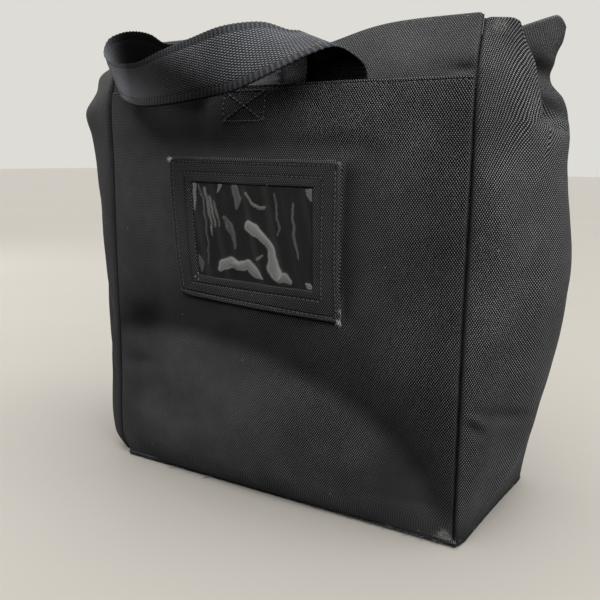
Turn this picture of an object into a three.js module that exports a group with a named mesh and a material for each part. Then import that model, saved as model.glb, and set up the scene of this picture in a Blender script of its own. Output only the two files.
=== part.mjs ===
// Insulated lunch bag: a soft standing box of woven cloth with tucked sides, a handle and a card holder.
// Millimetres. +Z is up and the front faces -Y. The origin is the middle of the base, on its lower face.
import * as THREE from "three";

// Driving dimensions
const GAP = 0.3; // left between pieces that are sewn or laid together
const WALL_T = 2; // front and back walls, cloth with its thin foam
const SIDE_T = 1.6; // side gussets and collar, which fold
const BASE_T = 3; // stiff bottom
const HEM_Z = 251; // top edge of the front panel, lapped over the collar
const LAP = 7; // how far the collar runs down behind the front panel
const RIM_Z = 282.5; // rim of the mouth at the front corners
const COLLAR_INSET = 1.4; // collar's ends kept inside the side seams where they lie behind the hem
const COLLAR_RISE = 10; // height above the hem over which the collar's ends come out to the side seams
const SEAM_TURN = 35; // degrees a wall's edge turns towards the side where it is sewn to a gusset
const BASE_INSET = 0.5; // bottom kept inside the walls' outline
const BINDING_T = 0.8; // bound seam edge round the base
const BINDING_Z = [0.5, 2.8]; // its lower and upper edges
const BACK_BELLY = 8; // how far the back wall rounds out in its middle
const CARD_T = 2; // turned cloth of the card frame
const CARD_STANDOFF = 0.5; // card frame off the front panel, which is rounded
const WINDOW_T = 0.7; // clear film
const WINDOW_DEPTH = 0.6; // film set back from the face of its frame
const STRAP_T = 1.8; // webbing
const FOLD_SHARE = 0.48; // largest share of the run to the next fold that a rounded fold takes up
const SEAM_HOLD = 8; // how late dents fade out towards the seams, as a power of the place across
const ANCHOR_SQUARE = 6; // how square the swellings over the handle's ends are, as a power

// Colours
const CLOTH_BLACK = 0x232325;
const COLLAR_BLACK = 0x2a2a2c;
const TRIM_BLACK = 0x1b1b1d;
const WEBBING_BLACK = 0x2e2e32;
const FILM_GREY = 0x5a5d60;

// Roughness of each finish
const CLOTH_ROUGHNESS = 0.85;
const TRIM_ROUGHNESS = 0.9;
const WEBBING_ROUGHNESS = 0.8;
const FILM_ROUGHNESS = 0.2;

// Seam lines that run up the bag: the front pair, half the width of the back pair, where both lie,
// and how far each is lifted from the row's own height.
const SEAMS = [
  { z: 0, left: -120, right: 125, front: -59, backHalf: 127, back: 57, backLift: 0, frontLift: 0 },
  { z: 14, left: -124, right: 125, front: -59.2, backHalf: 127, back: 58, backLift: 0, frontLift: 0 },
  { z: 60, left: -125, right: 125, front: -60, backHalf: 127, back: 61, backLift: 0, frontLift: 0 },
  { z: 140, left: -125, right: 125, front: -60, backHalf: 126, back: 66, backLift: 0, frontLift: 0 },
  { z: 205, left: -125, right: 125, front: -59.5, backHalf: 126, back: 63, backLift: 0, frontLift: 0 },
  { z: 251, left: -125, right: 125, front: -59, backHalf: 127, back: 57, backLift: 1, frontLift: 0 },
  { z: 282.5, left: -123.5, right: 123.5, front: -47, backHalf: 131, back: 49, backLift: 4, frontLift: -3 },
];

// Fold lines of each gusset up the bag, front to back: how far out from the seams, how far behind the front
// seam, lifted from the row's own height, and how far the cloth rounds off to either side of the fold.
const RIGHT_FOLDS = {
  shoulder: [
    { z: 0, out: 2.5, back: 6, lift: 0, round: 4 },
    { z: 30, out: 7, back: 7, lift: 0, round: 9 },
    { z: 140, out: 15, back: 9, lift: 0, round: 16 },
    { z: 195, out: 16, back: 14, lift: 0, round: 18 },
    { z: 218, out: 17.5, back: 38, lift: 0, round: 16 },
    { z: 234, out: 19, back: 59, lift: 0, round: 9 },
    { z: 251, out: 15.5, back: 59, lift: 0, round: 7 },
    { z: 266, out: 11, back: 51, lift: 0, round: 6 },
    { z: 282.5, out: 8, back: 37, lift: 2, round: 5 },
  ],
  middle: [
    { z: 0, out: 3.5, back: 58, lift: 0, round: 28 },
    { z: 60, out: 25, back: 62, lift: 0, round: 36 },
    { z: 140, out: 38, back: 68, lift: 0, round: 40 },
    { z: 205, out: 31, back: 68, lift: 0, round: 30 },
    { z: 226, out: 25, back: 71, lift: 0, round: 12 },
    { z: 236, out: 10, back: 69, lift: 0, round: 7 },
    { z: 248, out: -3, back: 65, lift: 0, round: 6 },
    { z: 282.5, out: -42, back: 46, lift: -12, round: 6 },
  ],
  corner: [
    { z: 0, out: 6, back: 110, lift: 0, round: 6 },
    { z: 60, out: 15, back: 112, lift: 0, round: 18 },
    { z: 140, out: 25, back: 114, lift: 0, round: 24 },
    { z: 205, out: 21.5, back: 106, lift: 0, round: 22 },
    { z: 233, out: 27, back: 97, lift: 0, round: 15 },
    { z: 245, out: 22.4, back: 98, lift: 0, round: 11 },
    { z: 255, out: 12.6, back: 96, lift: 0, round: 8 },
    { z: 266, out: 12.4, back: 97, lift: 0.7, round: 10 },
    { z: 275, out: 20, back: 95, lift: 4.2, round: 15 },
    { z: 282.5, out: 23.6, back: 90, lift: 13.5, round: 22 },
  ],
};
const LEFT_FOLDS = {
  shoulder: [
    { z: 0, out: 5, back: 6, lift: 0, round: 5 },
    { z: 10, out: 15, back: 8, lift: 0, round: 8 },
    { z: 35, out: 19, back: 10, lift: 0, round: 11 },
    { z: 100, out: 21, back: 11, lift: 0, round: 14 },
    { z: 170, out: 26.8, back: 11, lift: 0, round: 14 },
    { z: 190, out: 30, back: 11, lift: 0, round: 14 },
    { z: 208, out: 34.3, back: 14, lift: 0, round: 14 },
    { z: 224, out: 40, back: 18, lift: 0, round: 14 },
    { z: 240, out: 46.5, back: 20, lift: 0, round: 13 },
    { z: 254, out: 39.6, back: 24, lift: 0, round: 11 },
    { z: 268, out: 41.2, back: 28, lift: 0, round: 11 },
    { z: 282.5, out: 9, back: 34, lift: 1, round: 6 },
  ],
  middle: [
    { z: 0, out: 8, back: 58, lift: 0, round: 28 },
    { z: 60, out: 26, back: 60, lift: 0, round: 36 },
    { z: 140, out: 34, back: 64, lift: 0, round: 40 },
    { z: 205, out: 34, back: 64, lift: 0, round: 28 },
    { z: 228, out: 24, back: 62, lift: 0, round: 12 },
    { z: 242, out: 4, back: 60, lift: 0, round: 7 },
    { z: 282.5, out: -40, back: 46, lift: -8, round: 6 },
  ],
  corner: [
    { z: 0, out: 6, back: 110, lift: 0, round: 6 },
    { z: 60, out: 15, back: 112, lift: 0, round: 18 },
    { z: 140, out: 22, back: 114, lift: 0, round: 24 },
    { z: 205, out: 24, back: 106, lift: 0, round: 20 },
    { z: 234, out: 24, back: 100, lift: 0, round: 12 },
    { z: 251, out: 12, back: 94, lift: 0, round: 9 },
    { z: 282.5, out: 16, back: 84, lift: 5, round: 9 },
  ],
};

// Belly of the front up the bag: how far its middle stands out past the seams.
const BELLY = [
  { z: 0, out: 0.5 },
  { z: 8, out: 5 },
  { z: 20, out: 9 },
  { z: 40, out: 11 },
  { z: 120, out: 12.5 },
  { z: 190, out: 11 },
  { z: 235, out: 5 },
  { z: 251, out: 3 },
  { z: 282.5, out: 2 },
];

// Valley across the front, on an ellipse about a place on the base line: half width and height, depth,
// how far its flanks reach above and below, how softly it is rounded and the height over which it starts.
const VALLEY = { x: -60, reach: 174, rise: 99, depth: 6, above: 28, below: 45, soft: 8, foot: 20 };

// Dents of the front: middle, reach along and across a line turned up from +X, and height.
const DENTS = [
  { x: -100, z: 100, along: 16, across: 12, turn: 20, out: -2.5 },
  { x: -110, z: 14, along: 26, across: 13, turn: -42, out: -2.4 },
];

// Flat-topped swellings where the sewn-in ends of the handle lie behind the front panel.
const ANCHORS = [
  { x: -9.5, z: 240, reach: 27, rise: 21, out: 3.2 },
  { x: 46.5, z: 240, reach: 27, rise: 21, out: 3.2 },
];

// The right ear's tip hangs: where across that starts, over how far, by how much and from what height.
const EAR_TIP = { x: 137, reach: 8, drop: 18.7, z: 262 };

// The collar's rim sags where the handle pulls on it.
const RIM_SAG = { x: 20, reach: 34, drop: 12 };

// Corners of the card frame and of its window, anticlockwise from the lower left.
const CARD_CORNERS = [
  { x: -58.5, z: 124.5, windowX: -41.5, windowZ: 139 },
  { x: 57.5, z: 119.5, windowX: 40.5, windowZ: 137 },
  { x: 55.5, z: 209, windowX: 39, windowZ: 194 },
  { x: -67, z: 210.5, windowX: -47, windowZ: 195 },
];

// Both edges of the handle, from the end sewn in on the right, over and to the left,
// round and back to the other end.
const HANDLE = [
  { x: 65.5, y: -63, z: 229, farX: 27.5, farY: -64, farZ: 229 },
  { x: 65.5, y: -61.2, z: 244, farX: 27.5, farY: -62.3, farZ: 244 },
  { x: 65.5, y: -60.6, z: 251, farX: 28, farY: -61.4, farZ: 251 },
  { x: 64.2, y: -61, z: 258, farX: 28, farY: -60.4, farZ: 259.5 },
  { x: 58.4, y: -65, z: 264, farX: 24, farY: -56, farZ: 270 },
  { x: 52.1, y: -71, z: 266.9, farX: 20.5, farY: -54, farZ: 278.4 },
  { x: 42.2, y: -80, z: 262.8, farX: 15.3, farY: -59.8, farZ: 279.3 },
  { x: 26.1, y: -88, z: 254.2, farX: 6.4, farY: -72.1, farZ: 282.5 },
  { x: 1.9, y: -93, z: 244.4, farX: -7.8, farY: -85.7, farZ: 280.4 },
  { x: -23.4, y: -94, z: 240.6, farX: -34.4, farY: -84, farZ: 275.6 },
  { x: -50, y: -93, z: 238.4, farX: -62.4, farY: -78, farZ: 271 },
  { x: -69, y: -90, z: 238.8, farX: -89, farY: -72.1, farZ: 266.3 },
  { x: -86, y: -84, z: 243.5, farX: -110.5, farY: -71, farZ: 268.7 },
  { x: -93, y: -78, z: 247, farX: -117.5, farY: -69, farZ: 275 },
  { x: -93, y: -71, z: 251, farX: -115.6, farY: -67, farZ: 282.4 },
  { x: -86, y: -66.5, z: 252, farX: -104.5, farY: -67.5, farZ: 285.7 },
  { x: -75, y: -65.5, z: 251, farX: -90.3, farY: -69, farZ: 285.6 },
  { x: -62, y: -65.5, z: 246, farX: -77.2, farY: -70, farZ: 282.8 },
  { x: -50, y: -65.8, z: 244, farX: -64.5, farY: -69.5, farZ: 276.5 },
  { x: -41, y: -66.3, z: 244.5, farX: -44, farY: -66, farZ: 277.5 },
  { x: -33.5, y: -64.5, z: 252.5, farX: -20, farY: -61, farZ: 280 },
  { x: -30.3, y: -63.2, z: 255, farX: -1, farY: -57.5, farZ: 278 },
  { x: -29, y: -62.3, z: 256, farX: 7.5, farY: -59.5, farZ: 266 },
  { x: -28.5, y: -61.4, z: 251, farX: 9.5, farY: -61.3, farZ: 251 },
  { x: -28.5, y: -62.3, z: 244, farX: 9.5, farY: -62.4, farZ: 244 },
  { x: -28.5, y: -64, z: 229, farX: 9.5, farY: -64.3, farZ: 229 },
];

// Heights at which the walls are cut into rows, closer together where the sides are tucked.
const FLOOR_Z = BASE_T + GAP;
const LEVELS = [
  ...[FLOOR_Z, 8, 15, 27, 42, 58, 74, 88, 100, 114, 135, 160, 185, 204],
  ...[216, 224, 230, 235, 240, 245, HEM_Z, 257, 263, 269, 275.5, RIM_Z],
];

// Counts of facets
const FRONT_COLUMNS = 24;
const BACK_COLUMNS = 10;
const STRAIGHT_STEPS = 2;
const FOLD_STEPS = 5;
const CARD_STEPS = 9;
const CARD_COLUMNS = 2;
const STRAP_STEPS = 60;
const STRAP_COLUMNS = 2;

// Every column of a table at height z, on smooth curves through its rows.
function rowAt(rows, z) {
  let k = 0;
  while (k < rows.length - 2 && z > rows[k + 1].z) k += 1;
  const span = rows[k + 1].z - rows[k].z;
  const t = THREE.MathUtils.clamp((z - rows[k].z) / span, 0, 1);
  const slope = (i, column) => {
    const before = rows[Math.max(i - 1, 0)];
    const after = rows[Math.min(i + 1, rows.length - 1)];
    return (after[column] - before[column]) / (after.z - before.z);
  };
  const found = {};
  for (const column of Object.keys(rows[0])) {
    const start = rows[k][column];
    const end = rows[k + 1][column];
    const ease = t * t * (3 - 2 * t);
    const leave = slope(k, column) * span * t * (1 - t) * (1 - t);
    const arrive = slope(k + 1, column) * span * t * t * (1 - t);
    found[column] = start + (end - start) * ease + leave - arrive;
  }
  return found;
}

// A path through corners, each rounded off by its own length, always with the same count of points.
function roundedPath(corners) {
  const path = [];
  let from = corners[0].point;
  for (let i = 1; i < corners.length - 1; i++) {
    const corner = corners[i].point;
    const reachTo = (other) => {
      const away = other.clone().sub(corner);
      const length = Math.min(corners[i].round, FOLD_SHARE * away.length());
      return away.setLength(length).add(corner);
    };
    const start = reachTo(corners[i - 1].point);
    const end = reachTo(corners[i + 1].point);
    path.push(...new THREE.LineCurve3(from, start).getPoints(STRAIGHT_STEPS).slice(0, -1));
    path.push(...new THREE.QuadraticBezierCurve3(start, corner, end).getPoints(FOLD_STEPS).slice(0, -1));
    from = end;
  }
  const last = corners[corners.length - 1].point;
  path.push(...new THREE.LineCurve3(from, last).getPoints(STRAIGHT_STEPS));
  return path;
}

// Direction square to a grid of points at one of them, with columns taken before rows.
function squareTo(grid, i, j, wrap) {
  const count = grid.length;
  const rowBefore = wrap ? (i + count - 1) % count : Math.max(i - 1, 0);
  const rowAfter = wrap ? (i + 1) % count : Math.min(i + 1, count - 1);
  const columnBefore = Math.max(j - 1, 0);
  const columnAfter = Math.min(j + 1, grid[0].length - 1);
  const up = grid[rowAfter][j].clone().sub(grid[rowBefore][j]);
  const across = grid[i][columnAfter].clone().sub(grid[i][columnBefore]);
  return across.cross(up).normalize();
}

// A closed wall: a grid of points as its outer face and the same grid set in by the thickness.
// edges gives the direction at the first and last column, standing keeps the lowest row upright,
// centred takes the grid as the middle of the wall and wrap joins the last row to the first.
function wall(grid, thickness, { edges, standing = false, centred = false, wrap = false } = {}) {
  const rows = grid.length;
  const columns = grid[0].length;
  const positions = [];
  const faces = [];
  const directions = grid.map((row, i) => row.map((point, j) => {
    const direction = squareTo(grid, i, j, wrap);
    if (edges && j === 0) direction.copy(edges[0]);
    if (edges && j === columns - 1) direction.copy(edges[1]);
    if (standing && i === 0) direction.setZ(0).normalize();
    return direction;
  }));
  const outset = centred ? thickness / 2 : 0;
  for (const depth of [outset, outset - thickness]) {
    for (let i = 0; i < rows; i++) {
      for (let j = 0; j < columns; j++) {
        const point = grid[i][j].clone().addScaledVector(directions[i][j], depth);
        positions.push(point.x, point.y, point.z);
      }
    }
  }
  const outer = (i, j) => (i % rows) * columns + j;
  const inner = (i, j) => rows * columns + outer(i, j);
  const quad = (a, b, c, d) => faces.push(a, b, c, a, c, d);
  const lastRow = wrap ? rows : rows - 1;
  for (let i = 0; i < lastRow; i++) {
    for (let j = 0; j < columns - 1; j++) {
      quad(outer(i, j), outer(i, j + 1), outer(i + 1, j + 1), outer(i + 1, j));
      quad(inner(i, j), inner(i + 1, j), inner(i + 1, j + 1), inner(i, j + 1));
    }
    quad(outer(i, 0), outer(i + 1, 0), inner(i + 1, 0), inner(i, 0));
    const end = columns - 1;
    quad(outer(i, end), inner(i, end), inner(i + 1, end), outer(i + 1, end));
  }
  for (let j = 0; j < columns - 1 && !wrap; j++) {
    const top = rows - 1;
    quad(outer(0, j), inner(0, j), inner(0, j + 1), outer(0, j + 1));
    quad(outer(top, j), outer(top, j + 1), inner(top, j + 1), inner(top, j));
  }
  const geometry = new THREE.BufferGeometry();
  geometry.setAttribute("position", new THREE.Float32BufferAttribute(positions, 3));
  geometry.setIndex(faces);
  geometry.computeVertexNormals();
  return geometry;
}

// Direction of a wall's edge at a seam, between the front or back and one side.
function seamDirection(side, facing) {
  const turn = THREE.MathUtils.degToRad(SEAM_TURN);
  return new THREE.Vector3(side * Math.sin(turn), facing * Math.cos(turn), 0);
}

// Depth of the valley at a place across the front and a height
function valley(x, z) {
  const wide = (x - VALLEY.x) / VALLEY.reach;
  const high = z / VALLEY.rise;
  const ring = Math.hypot(wide, high);
  const beyond = ((ring - 1) * ring) / Math.hypot(wide / VALLEY.reach, high / VALLEY.rise);
  const away = Math.hypot(beyond, VALLEY.soft) - VALLEY.soft;
  const flank = beyond > 0 ? VALLEY.above : VALLEY.below;
  return -VALLEY.depth * Math.exp(-away / flank) * THREE.MathUtils.clamp(z / VALLEY.foot, 0, 1);
}

// Front surface at a place across and a height, without or with the swellings over the handle's ends.
function frontY(x, z, anchored) {
  const seam = rowAt(SEAMS, z);
  const u = (2 * x - seam.left - seam.right) / (seam.right - seam.left);
  let out = rowAt(BELLY, z).out * (1 - u * u);
  const fade = 1 - u ** SEAM_HOLD;
  out += fade * valley(x, z);
  for (const dent of DENTS) {
    const turn = THREE.MathUtils.degToRad(dent.turn);
    const along = ((x - dent.x) * Math.cos(turn) + (z - dent.z) * Math.sin(turn)) / dent.along;
    const across = ((z - dent.z) * Math.cos(turn) - (x - dent.x) * Math.sin(turn)) / dent.across;
    out += fade * dent.out * Math.exp(-along * along - across * across);
  }
  if (anchored) {
    for (const anchor of ANCHORS) {
      const across = Math.abs(x - anchor.x) / anchor.reach;
      const up = Math.abs(z - anchor.z) / anchor.rise;
      out += anchor.out * Math.exp(-(across ** ANCHOR_SQUARE) - up ** ANCHOR_SQUARE);
    }
  }
  return seam.front - out;
}

// A place across the front, from -1 at the left seam to 1 at the right, kept a little inside both.
function acrossFront(u, z, inset) {
  const seam = rowAt(SEAMS, z);
  return THREE.MathUtils.lerp(seam.left + inset, seam.right - inset, (u + 1) / 2);
}

// Evenly counted places from -1 to 1.
function shares(count) {
  return Array.from({ length: count + 1 }, (_, j) => (2 * j) / count - 1);
}

// Front wall, base to hem
function frontPanel() {
  const grid = LEVELS.filter((z) => z <= HEM_Z).map((z) => shares(FRONT_COLUMNS).map((u) => {
    const x = acrossFront(u, z, GAP / 2);
    return new THREE.Vector3(x, frontY(x, z, true), z);
  }));
  return wall(grid, WALL_T, { edges: [seamDirection(-1, -1), seamDirection(1, -1)], standing: true });
}

// Collar, from behind the hem up to the rim, where its ends meet the gussets
function frontCollar() {
  const heights = [HEM_Z - LAP, HEM_Z, ...LEVELS.filter((z) => z > HEM_Z)];
  const grid = heights.map((z) => shares(FRONT_COLUMNS).map((u) => {
    const freed = THREE.MathUtils.clamp((z - HEM_Z) / COLLAR_RISE, 0, 1);
    const x = acrossFront(u, z, THREE.MathUtils.lerp(COLLAR_INSET, GAP / 2, freed));
    const reach = (x - RIM_SAG.x) / RIM_SAG.reach;
    const raised = Math.max(z - HEM_Z, 0) / (RIM_Z - HEM_Z);
    const sag = RIM_SAG.drop * raised * Math.exp(-reach * reach);
    const setBack = (WALL_T + GAP) * (1 - freed * u ** SEAM_HOLD);
    return new THREE.Vector3(x, frontY(x, z - sag, false) + setBack, z - sag);
  }));
  return wall(grid, SIDE_T, { edges: [seamDirection(-1, -1), seamDirection(1, -1)] });
}

// One gusset's points at a height, from the front seam to the back seam
function gussetPath(side, folds, z) {
  const seam = rowAt(SEAMS, z);
  const sewn = side > 0 ? seam.right : seam.left;
  const corners = [{ point: new THREE.Vector3(sewn, seam.front, z + seam.frontLift), round: 0 }];
  for (const line of [folds.shoulder, folds.middle, folds.corner]) {
    const fold = rowAt(line, z);
    const point = new THREE.Vector3(sewn + side * fold.out, seam.front + fold.back, z + fold.lift);
    corners.push({ point, round: fold.round });
  }
  corners.push({ point: new THREE.Vector3(side * seam.backHalf, seam.back, z + seam.backLift), round: 0 });
  const path = roundedPath(corners);
  const upward = THREE.MathUtils.clamp((z - EAR_TIP.z) / (RIM_Z - EAR_TIP.z), 0, 1);
  for (const point of path) {
    const outward = THREE.MathUtils.clamp((point.x - EAR_TIP.x) / EAR_TIP.reach, 0, 1);
    point.z -= EAR_TIP.drop * upward * outward ** 2;
  }
  return path;
}

// Side wall, tucked in at the top
function gusset(side, folds) {
  const grid = LEVELS.map((z) => {
    const path = gussetPath(side, folds, z);
    const last = path.length - 1;
    const first = path[1].clone().sub(path[0]).setLength(GAP / 2);
    const final = path[last - 1].clone().sub(path[last]).setLength(GAP / 2);
    path[0].add(first);
    path[last].add(final);
    return side > 0 ? path : path.reverse();
  });
  const edges = [seamDirection(side, -1), seamDirection(side, 1)];
  return wall(grid, SIDE_T, { edges: side > 0 ? edges : edges.reverse(), standing: true });
}

// Plain back wall, base to rim
function backPanel() {
  const grid = LEVELS.map((z) => shares(BACK_COLUMNS).map((u) => {
    const seam = rowAt(SEAMS, z);
    const share = Math.sin((Math.PI * z) / RIM_Z);
    const y = seam.back + BACK_BELLY * share * (1 - u * u);
    return new THREE.Vector3(-u * (seam.backHalf - GAP / 2), y, z + seam.backLift);
  }));
  return wall(grid, WALL_T, { edges: [seamDirection(1, 1), seamDirection(-1, 1)], standing: true });
}

// Outline of the walls where they meet the base, set out by a distance
function baseOutline(outset) {
  const right = gussetPath(1, RIGHT_FOLDS, 0);
  const left = gussetPath(-1, LEFT_FOLDS, 0).reverse();
  const points = [...right, ...left].map((point) => new THREE.Vector2(point.x, point.y));
  return points.map((point, i) => {
    const before = points[(i + points.length - 1) % points.length];
    const after = points[(i + 1) % points.length];
    const onward = after.clone().sub(point).normalize();
    const along = point.clone().sub(before).normalize().add(onward).normalize();
    const reach = outset / along.dot(onward);
    return new THREE.Vector2(point.x + along.y * reach, point.y - along.x * reach);
  });
}

// Flat bottom
function basePanel() {
  const shape = new THREE.Shape(baseOutline(-BASE_INSET));
  return new THREE.ExtrudeGeometry(shape, { depth: BASE_T, bevelEnabled: false });
}

// Bound seam edge round the bottom
function baseBinding() {
  const shape = new THREE.Shape(baseOutline(GAP + BINDING_T - BASE_INSET));
  shape.holes.push(new THREE.Path(baseOutline(GAP - BASE_INSET)));
  const depth = BINDING_Z[1] - BINDING_Z[0];
  return new THREE.ExtrudeGeometry(shape, { depth, bevelEnabled: false }).translate(0, 0, BINDING_Z[0]);
}

// A place on the card holder's face, standing off the rounded front
function cardPoint(x, z, setBack) {
  return new THREE.Vector3(x, frontY(x, z, true) - CARD_STANDOFF - CARD_T + setBack, z);
}

// Cloth frame of the card holder
function cardFrame() {
  const grid = CARD_CORNERS.flatMap((corner, k) => {
    const next = CARD_CORNERS[(k + 1) % CARD_CORNERS.length];
    return Array.from({ length: CARD_STEPS }, (_, i) => {
      const along = i / CARD_STEPS;
      const mix = (column) => THREE.MathUtils.lerp(corner[column], next[column], along);
      return Array.from({ length: CARD_COLUMNS + 1 }, (__, j) => {
        const across = j / CARD_COLUMNS;
        const x = THREE.MathUtils.lerp(mix("windowX"), mix("x"), across);
        const z = THREE.MathUtils.lerp(mix("windowZ"), mix("z"), across);
        return cardPoint(x, z, 0);
      });
    });
  });
  return wall(grid, CARD_T, { wrap: true });
}

// Clear film that fills the frame
function cardWindow() {
  const [lowLeft, lowRight, highRight, highLeft] = CARD_CORNERS;
  const inset = GAP / (lowRight.windowX - lowLeft.windowX);
  const places = shares(CARD_STEPS).map((u) => 0.5 + u * (0.5 - inset));
  const rise = GAP / (highLeft.windowZ - lowLeft.windowZ);
  const grid = shares(CARD_STEPS).map((v) => 0.5 + v * (0.5 - rise)).map((up) => places.map((along) => {
    const mix = (column) => THREE.MathUtils.lerp(
      THREE.MathUtils.lerp(lowLeft[column], lowRight[column], along),
      THREE.MathUtils.lerp(highLeft[column], highRight[column], along),
      up,
    );
    return cardPoint(mix("windowX"), mix("windowZ"), WINDOW_DEPTH);
  }));
  return wall(grid, WINDOW_T);
}

// Webbing handle between its two edges
function handleStrap() {
  const nearEdge = HANDLE.map((row) => new THREE.Vector3(row.x, row.y, row.z));
  const farEdge = HANDLE.map((row) => new THREE.Vector3(row.farX, row.farY, row.farZ));
  const edge = new THREE.CatmullRomCurve3(nearEdge);
  const far = new THREE.CatmullRomCurve3(farEdge);
  const grid = Array.from({ length: STRAP_STEPS + 1 }, (_, i) => {
    const near = edge.getPoint(i / STRAP_STEPS);
    const other = far.getPoint(i / STRAP_STEPS);
    return shares(STRAP_COLUMNS).map((u) => near.clone().lerp(other, (u + 1) / 2));
  });
  return wall(grid, STRAP_T, { centred: true });
}

// The assembly
const group = new THREE.Group();
group.name = "insulated_lunch_bag";

function add(name, geometry, color, roughness) {
  const material = new THREE.MeshStandardMaterial({ color, roughness, metalness: 0 });
  const mesh = new THREE.Mesh(geometry, material);
  mesh.name = name;
  group.add(mesh);
}

add("front_panel", frontPanel(), CLOTH_BLACK, CLOTH_ROUGHNESS);
add("front_collar", frontCollar(), COLLAR_BLACK, CLOTH_ROUGHNESS);
add("gusset_right", gusset(1, RIGHT_FOLDS), CLOTH_BLACK, CLOTH_ROUGHNESS);
add("gusset_left", gusset(-1, LEFT_FOLDS), CLOTH_BLACK, CLOTH_ROUGHNESS);
add("back_panel", backPanel(), CLOTH_BLACK, CLOTH_ROUGHNESS);
add("base_panel", basePanel(), CLOTH_BLACK, TRIM_ROUGHNESS);
add("base_binding", baseBinding(), TRIM_BLACK, TRIM_ROUGHNESS);
add("handle_strap", handleStrap(), WEBBING_BLACK, WEBBING_ROUGHNESS);
add("card_frame", cardFrame(), CLOTH_BLACK, CLOTH_ROUGHNESS);
add("card_window", cardWindow(), FILM_GREY, FILM_ROUGHNESS);

export default group;
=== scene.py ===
# %% [markdown]
# # An insulated lunch bag
# A soft standing box of black woven cloth: two walls, two tucked side gussets, a collar at the mouth, a
# webbing handle that has flopped forward and a clear card holder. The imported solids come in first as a
# fixed frame, and every piece made here is measured in the same frame, so nothing has to be moved into
# place afterwards.

# %% Load the frame
import math
import bpy
import numpy as np
from mathutils import Matrix, Vector


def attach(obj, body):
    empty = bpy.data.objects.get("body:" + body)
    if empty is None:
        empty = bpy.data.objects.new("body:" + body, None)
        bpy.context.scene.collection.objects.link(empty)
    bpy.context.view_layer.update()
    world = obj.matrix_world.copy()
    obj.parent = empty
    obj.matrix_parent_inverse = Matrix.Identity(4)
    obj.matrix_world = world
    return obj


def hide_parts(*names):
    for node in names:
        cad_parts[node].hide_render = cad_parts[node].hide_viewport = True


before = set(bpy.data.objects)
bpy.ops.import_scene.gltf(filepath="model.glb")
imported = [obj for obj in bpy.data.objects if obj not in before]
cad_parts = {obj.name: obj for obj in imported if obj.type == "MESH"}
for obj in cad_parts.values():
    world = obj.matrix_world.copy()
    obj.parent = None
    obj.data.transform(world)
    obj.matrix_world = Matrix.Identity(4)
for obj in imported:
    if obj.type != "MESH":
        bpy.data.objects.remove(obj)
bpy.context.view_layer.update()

MM = 0.001

# %% [markdown]
# ## Camera
# The view was found from the straight seams of the front: the corner seam stands close to the camera and
# the left seam further off. A camera has no roll handle of its own, so its three axes are written as a
# matrix. A look-at constraint would be shorter, but it could not hold the slight tilt of the picture.

# %% Place the camera
YAW, PITCH, ROLL = math.radians(31.531), math.radians(10.945), math.radians(0.498)
EYE = Vector((0.2478722, -0.4236082, 0.2108258))
ahead = Vector((-math.sin(YAW) * math.cos(PITCH), math.cos(YAW) * math.cos(PITCH), -math.sin(PITCH)))
level = Vector((math.cos(YAW), math.sin(YAW), 0.0))
upright = level.cross(ahead)
side = math.cos(ROLL) * level + math.sin(ROLL) * upright
top = -math.sin(ROLL) * level + math.cos(ROLL) * upright
lens = bpy.data.cameras.new("camera")
lens.lens, lens.sensor_width = 44.55, 36.0
camera = bpy.data.objects.new("camera", lens)
axes = Matrix((side, top, -ahead)).transposed().to_4x4()
camera.matrix_world = Matrix.Translation(EYE) @ axes
bpy.context.scene.collection.objects.link(camera)
bpy.context.scene.camera = camera
print("camera at", [round(v, 3) for v in EYE])

# %% [markdown]
# ## One way to write a colour and one way to add a node
# Colours are written as they look on a screen and turned to linear light once. A small function adds a
# node, sets its options and joins its inputs, so that a material below reads as a list of what feeds what.
# A node that is given as an input stands for its first output. Settings that many nodes share have a name.

# %% Colour and node helpers
RGBA, IN_PLANE = {"data_type": "RGBA"}, {"noise_dimensions": "2D"}
MULTIPLY, SCALE = {"operation": "MULTIPLY"}, {"operation": "SCALE"}
SMOOTH = {"interpolation_type": "SMOOTHSTEP"}


def linear(hex_colour):
    shares = [int(hex_colour[k:k + 2], 16) / 255 for k in (1, 3, 5)]
    return (*[c / 12.92 if c <= 0.04045 else ((c + 0.055) / 1.055) ** 2.4 for c in shares], 1.0)


def feed(tree, node, feeds):
    for socket, value in feeds.items():
        if isinstance(value, bpy.types.Node):
            value = value.outputs[0]
        if isinstance(value, bpy.types.NodeSocket):
            tree.links.new(value, node.inputs[socket])
        else:
            node.inputs[socket].default_value = value


def put(tree, kind, settings=None, feeds=None):
    made = tree.nodes.new(kind)
    for option, value in (settings or {}).items():
        setattr(made, option, value)
    feed(tree, made, feeds or {})
    return made


def new_material(name):
    made = bpy.data.materials.new(name)
    made.use_nodes = True
    return made, made.node_tree, made.node_tree.nodes["Principled BSDF"]


print("linear mid grey:", round(linear("#808080")[0], 3))

# %% [markdown]
# ## Light
# Black cloth shows its shape only by soft sheen, so the light matters more than the colour. A wide even
# light comes from high up and grazes the front wall: what leans up turns grey and what leans down goes
# dark. It is a very soft sun, because a soft box overhead would leave the far floor dark. The surroundings
# are bright behind the bag and dim in front of it. One soft box stands behind the right side, where it
# reaches only the gusset, one on the left lights the other side and the handle's loop, and a weak low one
# gives the clear film something to mirror.

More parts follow.
